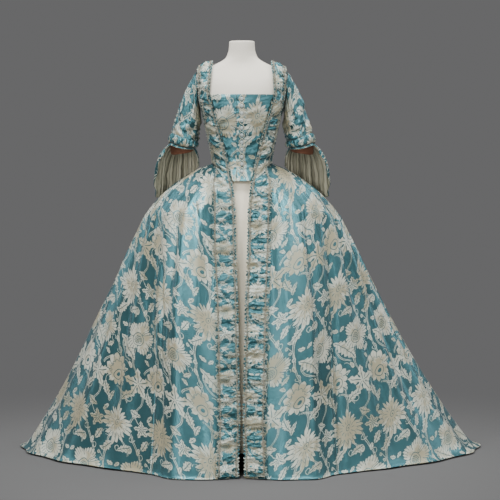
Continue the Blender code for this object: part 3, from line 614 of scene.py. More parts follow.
class Drawing:
    """Collects the motifs: what is woven in pale thread, and the thin lines left open in it."""

    def __init__(self, right, up):
        self.right = right + self.wobble(right, up, 2, 7, 0.0016) + self.wobble(right, up, 4, -11, 0.0008)
        self.up = up + self.wobble(right, up, 3, 5, 0.0016) + self.wobble(right, up, -5, 9, 0.0008)
        self.figure = None
        self.line = None

    def wobble(self, right, up, across, along, size):
        """A slow sway that repeats with the pattern, so that no curve looks ruled."""
        sway = right * (TURN * across / REPEAT_WIDTH) + up * (TURN * along / REPEAT_HEIGHT)
        return sway.sine() * size

    def weave(self, figure):
        self.figure = most(self.figure, figure) if self.figure else figure

    def leave_open(self, line):
        self.line = most(self.line, line) if self.line else line

    def place(self, x, y, turn_deg=0.0):
        """Distances across and up from the middle of a motif, repeated over the cloth and turned."""
        across = (self.right - x).math("WRAP", REPEAT_WIDTH / 2, -REPEAT_WIDTH / 2)
        up = (self.up - y).math("WRAP", REPEAT_HEIGHT / 2, -REPEAT_HEIGHT / 2)
        if not turn_deg:
            return across, up
        c, s = math.cos(math.radians(turn_deg)), math.sin(math.radians(turn_deg))
        return across * c + up * s, up * c - across * s

    def polar(self, across, up):
        reach = across.math("MULTIPLY_ADD", across, up * up).math("SQRT")
        return reach, up.math("ARCTAN2", across)

    def strokes(self, reach, saw, count, inner, outer, line=LINE):
        """Thin lines between petals, from an inner to an outer distance."""
        line = (reach * saw) * (-math.pi / count) + line
        self.leave_open(least(line, reach - inner, outer - reach))

    def bloom(self, x, y, radius, petals, lean_deg):
        """A ragged many-petalled flower: short strokes at its rim, inner petals and an oval heart."""
        across, up = self.place(x, y, lean_deg)
        reach, turn = self.polar(across, up)
        lean = turn.cosine() * 0.13
        uneven = (turn * 3.0 + 1.0).sine() * (turn * 7.0).sine() * 0.22
        saw = turn.saw(petals)
        rim = (saw.power(0.7) * 0.34 + lean + uneven + 0.66) * radius
        self.weave(rim - reach)
        self.strokes(reach, saw, petals, radius * 0.62, radius * 1.2, LINE * 0.8)
        inner = turn.saw(petals - 8)
        layer = (inner * 0.26 + lean + 0.46) * radius
        self.leave_open(least(LINE * 0.7 - abs(layer - reach), turn.cosine() * 0.02 + 0.006))
        self.strokes(reach, inner, petals - 8, radius * 0.26, radius * 0.44, LINE * 0.6)
        heart, _ = self.polar(across + radius * 0.06, up * 1.6)
        self.leave_open(LINE * 0.8 - abs(heart - radius * 0.17))
        self.leave_open(radius * 0.05 - heart)

    def eyed_flower(self, x, y, radius, turn_deg):
        """A broad flower of five round lobes, with a long eye in one and a speckled heart."""
        across, up = self.place(x, y, turn_deg)
        reach, turn = self.polar(across, up)
        saw = turn.saw(5)
        rim = (saw.power(0.45) * 0.40 + turn.saw(31) * 0.11 + 0.54) * radius
        self.weave(rim - reach)
        self.strokes(reach, saw, 5, radius * 0.44, radius, LINE * 0.9)
        self.strokes(reach, turn.saw(31), 31, radius * 0.66, radius * 1.0, LINE * 0.7)
        eye_across = across - radius * 0.52
        eye, _ = self.polar(eye_across, up * 2.3)
        self.leave_open(LINE * 1.2 - abs(eye - radius * 0.30))
        self.leave_open(least(LINE * 0.9 - abs(up), radius * 0.2 - abs(eye_across)))
        heart, _ = self.polar(across + radius * 0.20, up)
        speckle = (across * (TURN / 0.0075)).sine() * (up * (TURN / 0.0075)).sine() * 0.003
        self.leave_open(least(speckle, radius * 0.26 - heart))
        self.leave_open(LINE * 0.9 - abs(heart - radius * 0.36))

    def peony(self, x, y, radius, turn_deg):
        """A fan of scalloped petals over a small cup."""
        across, up = self.place(x, y, turn_deg)
        reach, turn = self.polar(across, up * 0.86)
        saw = turn.saw(11)
        rim = ((turn - TURN / 4).cosine() * 0.12 + saw.power(0.6) * 0.24 + 0.68) * radius
        self.weave(rim - reach)
        self.strokes(reach, saw, 11, radius * 0.56, radius, LINE * 0.8)
        self.leave_open(least(LINE * 0.7 - abs(rim * 0.62 - reach), up + 0.006))
        cup, _ = self.polar(across, up + radius * 0.22)
        self.leave_open(LINE - abs(cup - radius * 0.32))
        self.leave_open(radius * 0.13 - cup)

    def leaf_star(self, x, y, length, width, leaves, turn_deg):
        """Pointed leaves round one middle, each with its vein."""
        reach, turn = self.polar(*self.place(x, y, turn_deg))
        off_axis = turn.saw(leaves) * (math.pi / leaves)
        side = reach * off_axis.sine()
        along = reach * off_axis.cosine() * (1 / length)
        notches = (along * (TURN * 3)).sine() * 0.22 + 0.86
        self.weave(along * (1 - along) * (4 * width) * notches - side)
        self.leave_open(least(LINE * 0.95 - side, reach - length * 0.08, length * 0.80 - reach))

    def leaf(self, x, y, length, width, teeth, turn_deg, curve=0.0):
        """One toothed leaf with its middle at x, y, its vein and its side veins."""
        across, up = self.place(x, y, turn_deg)
        share = up * (1 / length) + 0.5
        if curve:
            across = across + share * (1 - share) * curve
        saw = (share * TURN).saw(teeth) * 0.42 + 0.68
        side = abs(across)
        self.weave(share * (1 - share) * (4 * width) * saw - side)
        if width < 0.009:
            self.leave_open(least(LINE * 0.6 - side, 0.30 * length - abs(up)))
            return
        rib = (share * teeth - side * (teeth * 0.9 / length)).math("WRAP", 0.5, -0.5)
        side_vein = least(LINE * 0.65 - abs(rib) * (length / teeth), width * 0.66 - side)
        self.leave_open(least(most(LINE * 0.9 - side, side_vein), 0.44 * length - abs(up)))

    def stem(self, x_1, y_1, x_2, y_2, bow, double=0.0):
        """A curved stem between two places. A double stem is two lines side by side."""
        length = math.hypot(x_2 - x_1, y_2 - y_1)
        turn = math.degrees(math.atan2(y_2 - y_1, x_2 - x_1))
        along, side = self.place((x_1 + x_2) / 2, (y_1 + y_2) / 2, turn)
        off = abs(side + (along * along * (4 * bow / length**2) - bow))
        if double:
            off = abs(off - double)
        self.weave(least(STEM - off, length / 2 - abs(along)))

    def meander(self, x, sway, count, phase, double=0.0024):
        """A stem that winds up the whole length of the silk."""
        path = (self.up * (TURN * count / REPEAT_HEIGHT) + phase).sine() * sway + x
        off = abs((self.right - path).math("WRAP", REPEAT_WIDTH / 2, -REPEAT_WIDTH / 2))
        self.weave(STEM - abs(off - double))

    def tendril(self, x, y, radius, turn_deg, sweep_deg=150):
        """A short curl that opens as it turns."""
        reach, turn = self.polar(*self.place(x, y, turn_deg))
        off = abs(reach - turn * (radius * 0.16) - radius)
        self.weave(least(STEM - off, (math.radians(sweep_deg) - abs(turn)) * radius))

    def bud(self, x, y, radius, stretch=1.4, turn_deg=0.0, heart=0.35):
        """A small bud or berry with a ring in it."""
        across, up = self.place(x, y, turn_deg)
        reach, _ = self.polar(across * stretch, up)
        self.weave(radius - reach)
        self.leave_open(LINE * 0.6 - abs(reach - radius * heart))


def draw_stems(drawing):
    drawing.meander(0.034, 0.026, 1, 1.2)
    drawing.meander(0.126, 0.024, 2, 0.4)
    drawing.stem(0.050, 0.352, 0.100, 0.296, 0.014, double=0.0022)
    drawing.stem(0.034, 0.205, 0.092, 0.150, -0.016, double=0.0020)
    drawing.stem(0.030, 0.050, 0.088, 0.006, 0.012, double=0.0020)
    drawing.stem(0.150, 0.112, 0.190, 0.146, 0.008, double=0.0020)
    drawing.stem(0.112, 0.440, 0.160, 0.398, -0.008)
    drawing.stem(0.168, 0.290, 0.194, 0.240, 0.008)
    drawing.stem(0.118, 0.186, 0.172, 0.170, 0.008)
    drawing.stem(0.060, 0.145, 0.090, 0.126, 0.006)
    for x, y, radius, turn in (
        (0.010, 0.352, 0.010, 40), (0.112, 0.356, 0.009, 200), (0.180, 0.206, 0.010, 120),
        (0.020, 0.170, 0.009, 300), (0.088, 0.168, 0.008, 20), (0.176, 0.066, 0.009, 90),
        (0.094, 0.020, 0.008, 250), (0.150, 0.300, 0.008, 330), (0.060, 0.318, 0.007, 150),
    ):
        drawing.tendril(x, y, radius, turn)


def draw_leaves(drawing):
    drawing.leaf(0.016, 0.316, 0.058, 0.014, 5, 125, curve=0.014)
    drawing.leaf(0.086, 0.322, 0.054, 0.013, 5, -68, curve=-0.014)
    drawing.leaf(0.066, 0.190, 0.108, 0.023, 7, 232, curve=0.022)
    drawing.leaf(0.176, 0.034, 0.054, 0.013, 5, 28, curve=0.012)
    drawing.leaf(0.088, 0.030, 0.056, 0.013, 5, -60, curve=0.014)
    drawing.leaf(0.164, 0.344, 0.046, 0.012, 4, -40, curve=0.010)
    drawing.leaf(0.122, 0.442, 0.046, 0.012, 4, 70, curve=0.012)
    drawing.leaf(0.012, 0.010, 0.042, 0.010, 4, 160, curve=-0.010)
    for x, y, length, turn in (
        (0.168, 0.180, 0.028, -50), (0.160, 0.156, 0.026, -120), (0.036, 0.262, 0.026, 60),
        (0.062, 0.262, 0.024, -40), (0.012, 0.206, 0.024, 20), (0.184, 0.300, 0.026, 70),
        (0.140, 0.318, 0.024, -20), (0.070, 0.114, 0.024, -75), (0.176, 0.096, 0.026, 40),
        (0.180, 0.436, 0.026, 140),
    ):
        drawing.leaf(x, y, length, length * 0.27, 3, turn)
    drawing.leaf_star(0.124, 0.076, 0.056, 0.014, 5, 20)
    drawing.leaf_star(0.150, 0.394, 0.030, 0.008, 5, 30)


def draw_flowers(drawing):
    drawing.bloom(0.052, 0.398, 0.060, 21, 250)
    drawing.eyed_flower(0.126, 0.234, 0.058, 38)
    drawing.peony(0.026, 0.098, 0.051, 18)
    drawing.bud(0.092, 0.134, 0.012, 1.5, 20)
    drawing.bud(0.106, 0.318, 0.012, 1.5, -20)
    for x, y in ((0.008, 0.236), (0.181, 0.262), (0.171, 0.282), (0.188, 0.120), (0.058, 0.062)):
        drawing.bud(x, y, 0.0062, 1.0)


# %% [markdown]
# ## Brocaded satin
# The ground is teal satin, which mirrors a lamp softly and in its own colour, so it is partly metallic
# in the shader. The flowers are a duller silver-cream thread that floats over the ground: rougher,
# with fine ribs. Both have small variations, because old silk is never even.
# Whole flowers are also painted darker beige in random patches: painted shade for thread turned away from
# the light.

# %% Brocade material
SATIN = (0.034, 0.095, 0.104)
SATIN_LIGHT = (0.056, 0.150, 0.166)
SATIN_GLEAM = (0.28, 0.78, 1.0)
FLOWER_THREAD = (0.465, 0.458, 0.372)
# A deeper beige towards each flower's middle, and also the painted shade of whole flowers.
FLOWER_BEIGE_AND_SHADE = (0.29, 0.25, 0.155)


def new_material(name):
    """A material with its node tree and its shader."""
    made = bpy.data.materials.new(name)
    made.use_nodes = True
    return made, made.node_tree, made.node_tree.nodes["Principled BSDF"]


def cloth_place(tree):
    """The place on the flat cloth: to the right, and up."""
    uv = tree.nodes.new("ShaderNodeUVMap")
    uv.uv_map = "cloth"
    split = tree.nodes.new("ShaderNodeSeparateXYZ")
    tree.links.new(uv.outputs["UV"], split.inputs["Vector"])
    return Number(tree, split.outputs["X"]), Number(tree, split.outputs["Y"]), uv.outputs["UV"]


def mottle(tree, scale, detail=2.0, vector=None):
    """Soft uneven patches, from 0 to 1."""
    noise = tree.nodes.new("ShaderNodeTexNoise")
    noise.inputs["Scale"].default_value = scale
    noise.inputs["Detail"].default_value = detail
    if vector:
        tree.links.new(vector, noise.inputs["Vector"])
    return Number(tree, noise.outputs["Fac"])


def blend_colour(tree, share, first, second):
    """A mix of two colours, each a fixed one or the output of a node."""
    node = tree.nodes.new("ShaderNodeMix")
    node.data_type = "RGBA"
    tree.links.new(share.socket, node.inputs["Factor"])
    for socket, colour in zip([s for s in node.inputs if s.type == "RGBA"], (first, second)):
        if isinstance(colour, tuple):
            socket.default_value = (*colour, 1)
        else:
            tree.links.new(colour, socket)
    return [s for s in node.outputs if s.type == "RGBA"][0]


def raise_surface(tree, shader, height, distance, strength=1.0):
    """Bump from a height between 0 and 1."""
    bump = tree.nodes.new("ShaderNodeBump")
    bump.inputs["Distance"].default_value = distance
    bump.inputs["Strength"].default_value = strength
    tree.links.new(height.socket, bump.inputs["Height"])
    tree.links.new(bump.outputs["Normal"], shader.inputs["Normal"])


def brocade_material(name):
    """The flowered silk."""
    made, tree, shader = new_material(name)
    right, up, vector = cloth_place(tree)
    drawing = Drawing(right, up)
    draw_stems(drawing)
    draw_leaves(drawing)
    draw_flowers(drawing)
    ragged = mottle(tree, 260.0, 2.0, vector) * 0.0027 - 0.0016
    figure = drawing.figure + ragged
    woven = least(figure, 0.0 - drawing.line).math("MULTIPLY_ADD", 1 / 0.0010, 0.5, clamp=True)
    # Painted shade: whole flowers are turned darker beige in random patches, standing for thread that faces
    # away from the light.
    painted_flower_shade = (mottle(tree, 6.5, 1.0, vector) - 0.5) * 4.5
    threads = (mottle(tree, 60.0, 4.0, vector) - 0.5) * 3.2
    beige_and_shade = (figure * (1 / 0.030) + painted_flower_shade + threads).math("ADD", 0.10, clamp=True)

    ground = blend_colour(tree, mottle(tree, 9.0, 3.0, vector), SATIN, SATIN_LIGHT)
    thread = blend_colour(tree, beige_and_shade, FLOWER_THREAD, FLOWER_BEIGE_AND_SHADE)
    tree.links.new(blend_colour(tree, woven, ground, thread), shader.inputs["Base Color"])
    tree.links.new((woven * 0.12 + 0.27).socket, shader.inputs["Roughness"])
    tree.links.new((woven * -0.54 + 0.66).socket, shader.inputs["Metallic"])
    shader.inputs["IOR"].default_value = 1.6
    shader.inputs["Specular Tint"].default_value = (*SATIN_GLEAM, 1)
    shader.inputs["Sheen Weight"].default_value = 0.12
    shader.inputs["Sheen Roughness"].default_value = 0.4
    ribs = (up * (TURN / 0.0012)).sine() * 0.25 + 0.5
    raise_surface(tree, shader, ribs + mottle(tree, 300.0, 3.0, vector) * 0.8, 0.0004, 0.7)
    return made


brocade = brocade_material("brocade")
print("Brocade nodes:", len(brocade.node_tree.nodes))

# %% [markdown]
# ## Plain cloths, thread and steel
# Lining silk, rust linen and the form's calico are plain weaves: two crossed sets of fine waves make
# the threads, and soft patches keep the colour alive. The flounce lining is thin silk set in fine
# pleats, drawn as lines of painted shade down the cloth where the pleat hollows lie. The pole and its
# base are black enamelled steel.

# %% Plain materials
def plain_weave(name, colour, shade, thread_size, roughness, sheen=0.1, patch_scale=14.0, relief=0.00025):
    """A plain woven cloth in one colour with soft patches."""
    made, tree, shader = new_material(name)
    right, up, vector = cloth_place(tree)
    tree.links.new(blend_colour(tree, mottle(tree, patch_scale, 4.0, vector), shade, colour),
                   shader.inputs["Base Color"])
    shader.inputs["Roughness"].default_value = roughness
    shader.inputs["Sheen Weight"].default_value = sheen
    warp = (right * (TURN / thread_size)).sine()
    weft = (up * (TURN / thread_size)).sine()
    threads = warp * weft * 0.25 + 0.5
    raise_surface(tree, shader, threads + mottle(tree, 160.0, 3.0, vector) * 0.6, relief)
    return made


def thread_material(name, colour, shade):
    """Twisted silk thread for braid, fringe and loops."""
    made, tree, shader = new_material(name)
    patches = mottle(tree, 90.0, 3.0)
    tree.links.new(blend_colour(tree, patches, shade, colour), shader.inputs["Base Color"])
    shader.inputs["Roughness"].default_value = 0.6
    shader.inputs["Sheen Weight"].default_value = 0.3
    raise_surface(tree, shader, mottle(tree, 900.0, 2.0), 0.0003)
    return made


def enamel_material(name):
    """Black enamel with a faint grain."""
    made, tree, shader = new_material(name)
    grain = mottle(tree, 60.0, 5.0)
    tree.links.new(blend_colour(tree, grain, (0.010, 0.010, 0.011), (0.030, 0.030, 0.032)),
                   shader.inputs["Base Color"])
    tree.links.new((grain * 0.25 + 0.30).socket, shader.inputs["Roughness"])
    raise_surface(tree, shader, grain, 0.0002)
    return made


# The colour painted into the pleat hollows as shade.
PLEAT_PAINTED_SHADE = (0.075, 0.073, 0.045)


def pleated_weave(name, colour, shade, pleat_size):
    """Thin silk set in fine pleats: lines of painted shade, of uneven strength, run down the cloth in the
    pleat hollows.
    """
    made, tree, shader = new_material(name)
    right, up, vector = cloth_place(tree)
    sway = mottle(tree, 22.0, 1.0, vector) * 5.0
    folds = (right * (TURN / pleat_size) + sway).cosine() * 0.5 + 0.5
    broad = (right * (TURN / (pleat_size * 2.7)) + sway * 0.7).cosine() * 0.5 + 0.5
    # Painted shade: the pleat hollows are darkened in the colour.
    pleat_painted_shade = (folds.power(5.0) * 0.75 + broad.power(3.0) * 0.55).math("MINIMUM", 1.0)
    plain = blend_colour(tree, mottle(tree, 14.0, 4.0, vector), shade, colour)
    tree.links.new(blend_colour(tree, pleat_painted_shade, plain, PLEAT_PAINTED_SHADE), shader.inputs["Base Color"])
    shader.inputs["Roughness"].default_value = 0.5
    shader.inputs["Sheen Weight"].default_value = 0.2
    raise_surface(tree, shader, 1.0 - folds.power(2.0), 0.0012)
    return made


lining_silk = plain_weave("lining_silk", (0.54, 0.50, 0.37), (0.38, 0.35, 0.25), 0.0011, 0.5, 0.2)
pleated_silk = pleated_weave("pleated_silk", (0.51, 0.48, 0.36), (0.35, 0.33, 0.235), 0.0125)
rust_linen = plain_weave("rust_linen", (0.26, 0.105, 0.055), (0.17, 0.070, 0.040), 0.0014, 0.85)
calico = plain_weave("calico", (0.645, 0.61, 0.53), (0.58, 0.55, 0.47), 0.0013, 0.85, relief=0.00018)
cover_cotton = plain_weave("cover_cotton", (0.80, 0.75, 0.60), (0.68, 0.63, 0.49), 0.0013, 0.85)
fly_thread = thread_material("fly_thread", (0.34, 0.30, 0.21), (0.11, 0.12, 0.10))
pale_thread = thread_material("pale_thread", (0.58, 0.53, 0.38), (0.40, 0.36, 0.25))
button_thread = thread_material("button_thread", (0.46, 0.47, 0.42), (0.16, 0.24, 0.26))
enamel = enamel_material("black_enamel")

# %% [markdown]
# ## The dress form
# The bust is one smooth padded body, covered tightly in cream calico and cut off flat at the neck. A
# wide cream cover hangs over its hoops and shows in the opening of the skirt, with the soft upright
# creases of cotton that hangs from a waist tape. The pole and the base keep their solids.

# %% Dress form
def corners_round(table):
    """The four corners of each face between the rings of a stack."""
    return np.stack([table[:-1, :-1], table[:-1, 1:], table[1:, 1:], table[1:, :-1]], axis=-1).reshape(-1, 4)


def closed_body(name, grid, flat, cloth):
    """A stack of rings closed with a cap at each end."""
    rows, across = grid.shape[:2]
    ring = np.arange(across)
    index = np.arange(rows * across).reshape(rows, across)
    quads = corners_round(closed_ring(index))
    verts = np.concatenate([grid.reshape(-1, 3), [grid[0].mean(axis=0), grid[-1].mean(axis=0)]])
    low, high = rows * across, rows * across + 1
    faces = quads.tolist()
    faces += [[low, int(index[0, (j + 1) % across]), int(index[0, j])] for j in ring]
    faces += [[high, int(index[-1, j]), int(index[-1, (j + 1) % across])] for j in ring]
    piece = new_piece(name, verts.tolist(), faces, [cloth])
    place = np.arange(flat.shape[0] * flat.shape[1]).reshape(flat.shape[:2])
    side_places = flat.reshape(-1, 2)[corners_round(place).ravel()]
    cap_places = verts[np.array(faces[len(quads):]).ravel(), :2]
    remember_places(piece, np.concatenate([side_places, cap_places]))
    return piece


FORM_FOOT = 0.989
FORM_TOP = 1.442
NECK_ROUNDING = 0.0045
BUST_RINGS = 96
NECK_RINGS = 6
CALICO_INSET = 0.0014
angles = np.linspace(0, 360, 112, endpoint=False)
heights = np.concatenate([np.linspace(FORM_FOOT, FORM_TOP - NECK_ROUNDING, BUST_RINGS),
                          np.full(NECK_RINGS, FORM_TOP)])
rounding = np.concatenate([np.zeros(BUST_RINGS), np.linspace(0.2, 1, NECK_RINGS)])
rings = []
for height, turn in zip(heights, rounding):
    inset = -CALICO_INSET - NECK_ROUNDING * (1 - math.cos(turn * math.pi / 2))
    ring = body_ring(angles, min(height, FORM_TOP), out=inset)
    ring[:, 2] = height if turn == 0 else FORM_TOP - NECK_ROUNDING * (1 - math.sin(turn * math.pi / 2))
    rings.append(ring)
rings.append(rings[-1] * np.array([0.4, 0.4, 1]))
bust_grid = np.array(rings)
bust_flat = flat_places(bust_grid, ring=True, evenness=1.0)
bust = closed_body("form_bust_calico", bust_grid, bust_flat, calico)
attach(bust, "root")
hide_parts("form_bust")

HOOP_COVER = columns(
    "height half_width front back",
    [
        (0.060, 0.372, 0.306, 0.265),
        (0.300, 0.350, 0.262, 0.225),
        (0.600, 0.318, 0.206, 0.170),
        (0.850, 0.280, 0.154, 0.114),
        (0.905, 0.244, 0.136, 0.104),
        (0.945, 0.190, 0.119, 0.098),
        (0.970, 0.132, 0.106, 0.090),
        (0.9847, 0.100, 0.100, 0.084),
    ],
)


def hoop_cover(height, angle_deg):
    """The cream cover with its soft upright creases."""
    names = ("half_width", "front", "back")
    sizes = [np.interp(height, HOOP_COVER["height"], HOOP_COVER[name]) for name in names]
    drop = np.clip((0.95 - height) / 0.3, 0, 1)
    a = np.radians(angle_deg)
    crease = 0.0016 * np.cos(31 * a + 1.2 * np.sin(3 * a) + 1.5 * height)
    crease = crease + 0.0012 * np.cos(57 * a + 2.0 * height) - 0.0026
    lift = crease * drop
    x, y = oval(angle_deg, *(size + lift for size in sizes))
    return points(x, y, height)


COVER_TOP = 0.9845
COVER_FOOT = 0.060
COVER_WALL = 0.0035
cover_heights = np.linspace(COVER_TOP, COVER_FOOT, 40)
cover_angles = np.linspace(0, 360, 260, endpoint=False)
cover_grid = hoop_cover(*np.meshgrid(cover_heights, cover_angles, indexing="ij"))
cover = sew("form_hoop_cover_calico", cover_grid, flat_places(cover_grid, ring=True), cover_cotton,
            wall=COVER_WALL, ring=True)
declare(cover, closed_ring(cover_grid), ["form_hoop_cover"])

for name in ("form_pole", "form_base"):
    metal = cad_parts[name]
    metal.data.materials.clear()
    metal.data.materials.append(enamel)

# %% [markdown]
# ## The buttoned front
# Two flat fronts meet a little to one side, and eleven small covered buttons run down the middle. They
# pull at the silk, so short ridges run out from each button and fade towards the ruched bands.

# %% Buttoned front
CLOSING_X = -0.018
BUTTON_COUNT = 11
BUTTON_TOP = 1.240
BUTTON_SPACING = 0.0246
BUTTON_RADIUS = 0.0062
BUTTON_RISE = 0.0042
PULL_RISE = 0.0022
PULL_WIDTH = 0.0042
STOMACHER_PATTERN_SHIFT = 0.148


def robing_inner(height):
    """The inner edge of the ruched band, from the stomacher's foot past the neckline to the shoulder."""
    heights = [STOMACHER_FOOT, 1.03, 1.14, NECKLINE_HEIGHT, 1.36]
    return np.interp(height, heights, [0.034, 0.047, 0.075, 0.110, 0.101])


def pulls(x, height):
    """Short ridges that run out from the row of buttons."""
    total = 0
    for i in range(BUTTON_COUNT * 2 - 1):
        level = BUTTON_TOP - 0.5 * i * BUTTON_SPACING
        slant = 0.10 * math.sin(2.1 * i)
        reach = 0.020 + 0.016 * abs(math.sin(1.7 * i + 0.4))
        strength = PULL_RISE * (0.55 + 0.45 * math.sin(3.3 * i + 1))
        near = np.abs(x)
        ridge = strength * hump(height, level + slant * near, PULL_WIDTH)
        total = total + ridge * np.exp(-((near / reach) ** 2))
    return total - 0.0003


def stomacher(height, share, closing, side):
    """A point of one front, from its closing edge (-1 or 0) to the ruched band (1)."""
    tuck = 0.0005 + 0.0025 * (1 - soft_step(STOMACHER_FOOT, 0.995, height))
    edge = robing_inner(height) - tuck
    x = mix(max(closing, 0), edge, np.maximum(share, 0)) + closing * np.maximum(-share, 0)
    ease = pulls(x * side, height) * (1 - soft_step(0.7, 1.0, share))
    creases = 0.0016 * ripple(x * side * 0.45, height, 0.022, 5) * (1 - soft_step(0.8, 1.0, share))
    return points(x, -body_depth(x, height, "front") - EASE - SILK - ease - creases, height)


def front_flat(grid):
    """Cloth places of a bodice piece: along its curve from the middle, and up its height."""
    right = steps(grid, 1)
    first = grid[:, :1, 0]
    return np.stack([right + first, grid[..., 2]], axis=-1)


heights = np.linspace(NECKLINE_HEIGHT, STOMACHER_FOOT, 150)
for name, side, closing in (("left", 1, CLOSING_X + SEAM), ("right", -1, -CLOSING_X)):
    shares = np.linspace(-1, 0, 10)[:-1] if closing < 0 else np.zeros(0)
    shares = np.concatenate([shares, np.linspace(0, 1, 46)])
    grid = stomacher(*np.meshgrid(heights, shares, indexing="ij"), closing, side)
    shift = STOMACHER_PATTERN_SHIFT if side > 0 else 0.0
    flat = front_flat(grid) * np.array([side, 1]) + np.array([0, shift])
    piece = sew(f"stomacher_{name}_silk", grid, flat, brocade, side=side, inside=lining_silk)
    declare(piece, grid,
            [f"stomacher_{name}"])

# %% [markdown]
# ## Covered buttons and looped cord
# A covered button is a small dome whose silk is gathered to the middle, so it has shallow spokes. A fine
# cord loops from side to side between them. Both are seated on the silk and follow its curve.

# %% Buttons
def tube(name, path, radius, material, sides=6):
    """A thin cord along a path of points, with flat ends."""
    path = np.asarray(path, float)
    ahead = np.gradient(path, axis=0)
    ahead /= np.linalg.norm(ahead, axis=1, keepdims=True)
    across = np.cross(ahead, [0.3, 0.2, 0.93])
    across /= np.linalg.norm(across, axis=1, keepdims=True)
    above = np.cross(ahead, across)
    turn = np.linspace(0, TURN, sides, endpoint=False)
    rings = path[:, None] + radius * (np.cos(turn)[None, :, None] * across[:, None]
                                      + np.sin(turn)[None, :, None] * above[:, None])
    count = len(path)
    index = np.arange(count * sides).reshape(count, sides)
    quads = corners_round(closed_ring(index))[:, ::-1]
    faces = quads.tolist() + [index[0].tolist(), index[-1, ::-1].tolist()]
    return new_piece(name, rings.reshape(-1, 3).tolist(), faces, [material])


def front_depth(height):
    """The silk's surface on the middle line."""
    return -body_depth(0.0, height, "front") - EASE - SILK


def button_mesh():
    """A dome with twelve shallow spokes, its flat back at z = 0."""
    rings = []
    profile = [
        (0.86, 0.0), (1.0, 0.16), (1.0, 0.34), (0.90, 0.62),
        (0.72, 0.84), (0.48, 0.95), (0.24, 0.93), (0.10, 0.84),
    ]
    turns = np.linspace(0, TURN, 36, endpoint=False)
    for reach, rise in profile:
        spoke = 1 + 0.10 * np.abs(np.sin(6 * turns)) * (rise > 0.3)
        rings.append(points(reach * BUTTON_RADIUS * np.cos(turns), reach * BUTTON_RADIUS * np.sin(turns),
                            rise * BUTTON_RISE * spoke / 1.05))
    return np.array(rings)


dome = button_mesh()
for i in range(BUTTON_COUNT):
    height = BUTTON_TOP - i * BUTTON_SPACING
    above, below = front_depth(height + 0.006), front_depth(height - 0.006)
    name = f"button_{i + 1:02d}"
    flat = flat_places(dome, ring=True)
    button = closed_body(f"{name}_covered", dome, flat, button_thread)
    out = Vector((0, -1, float(above - below) / 0.012)).normalized()
    button.rotation_mode = "QUATERNION"
    button.rotation_quaternion = Vector((0, 0, 1)).rotation_difference(out)
    button.location = (0.0, float(front_depth(height)) - 0.0008, height)
    bpy.context.view_layer.update()
    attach(button, "root")
    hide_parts(name)

LOOP_PAST_BUTTON = 0.0028
LOOP_LIFT = 0.0013
LOOP_THREAD_RADIUS = 0.0010
levels = np.linspace(NECKLINE_HEIGHT - 0.004, STOMACHER_FOOT + 0.006, 260)
for name, way in (("a", 1), ("b", -1)):
    turn = (levels - BUTTON_TOP) / BUTTON_SPACING * math.pi
    wave = np.cos(turn)
    loops = way * (BUTTON_RADIUS + LOOP_PAST_BUTTON) * np.sign(wave) * np.abs(wave) ** 0.7
    depth = front_depth(levels) - LOOP_LIFT - 0.0006 * way * np.sin(turn)
    cord = tube(f"closing_loops_{name}", points(loops, depth, levels), LOOP_THREAD_RADIUS, pale_thread)
    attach(cord, "root")

# %% [markdown]
# ## Bodice and shoulders
# The fitted sides and back lie smooth over the stays. Only small diagonal strains show where the sleeve
# and the waist pull. The shoulder strap is a curved strip from the front neckline over the shoulder.

# %% Bodice and shoulders
STRAP_OUTER = 0.153


def back_seam(height):
    """Where the side of the bodice meets its back, in degrees from the front."""
    return np.interp(height, [WAIST_HEIGHT, UNDERARM_HEIGHT, 1.30], [150, 127, 122])


def ridge_height(x):
    """The height of the shoulder line at this distance from the middle."""
    upper = BODY["height"] >= 1.322
    return np.interp(x, BODY["half_width"][upper][::-1], BODY["height"][upper][::-1])


def strap_point(x_share, over):
    """A point of the shoulder strap, from the front (-1) over the shoulder to the back (1)."""
    low = np.clip(-over, 0, 1)
    inner = robing_inner(mix(SHOULDER_HEIGHT, UNDERARM_HEIGHT, over**2 * (over < 0))) + SEAM
    outer = STRAP_OUTER - 0.010 * low**2.6 - 0.0105 * np.clip(over, 0, 1) ** 2
    x = mix(inner, outer, x_share)
    top = ridge_height(x)
    bottom = np.where(over < 0, UNDERARM_HEIGHT + SEAM, SHOULDER_SEAM_HEIGHT)
    z = top - (top - bottom) * over**2
    depth = np.where(over < 0, body_depth(x, z, "front"), body_depth(x, z, "back"))
    lift = 0.0030 * (1 - np.abs(over))
    return points(x, np.sign(over) * (depth + EASE + 0.0008), z + lift)


def bodice_side(down, share, half):
    """A point of the fitted side, from under the ruched band to the side back."""
    top = UNDERARM_HEIGHT - SEAM
    level = mix(top, WAIST_HEIGHT - FRONT_DIP, down)
    across = (robing_inner(level) + SEAM) / (read(BODY, "half_width", level) + EASE)
    inner = np.degrees(np.arcsin(across ** (ROUNDNESS / 2)))
    angle = mix(inner, back_seam(mix(top, WAIST_HEIGHT, down)) - 0.3, share)
    height = mix(top, waist_line(angle), down)
    edge = soft_step(0, 0.06, share) * (1 - soft_step(0.94, 1, share)) * soft_step(0, 0.06, down)
    strain = 0.0007 * (1 + ripple(angle * 0.0016 + height, height * 0.5, 0.03, half["seed"])) * edge
    return body_ring(angle, height, out=EASE + SILK + strain)


def back_panel(height, share):
    """A point of the fitted back that carries the sack."""
    seam = back_seam(height)
    return body_ring(mix(seam, 360 - seam, share), height, out=EASE + SILK)


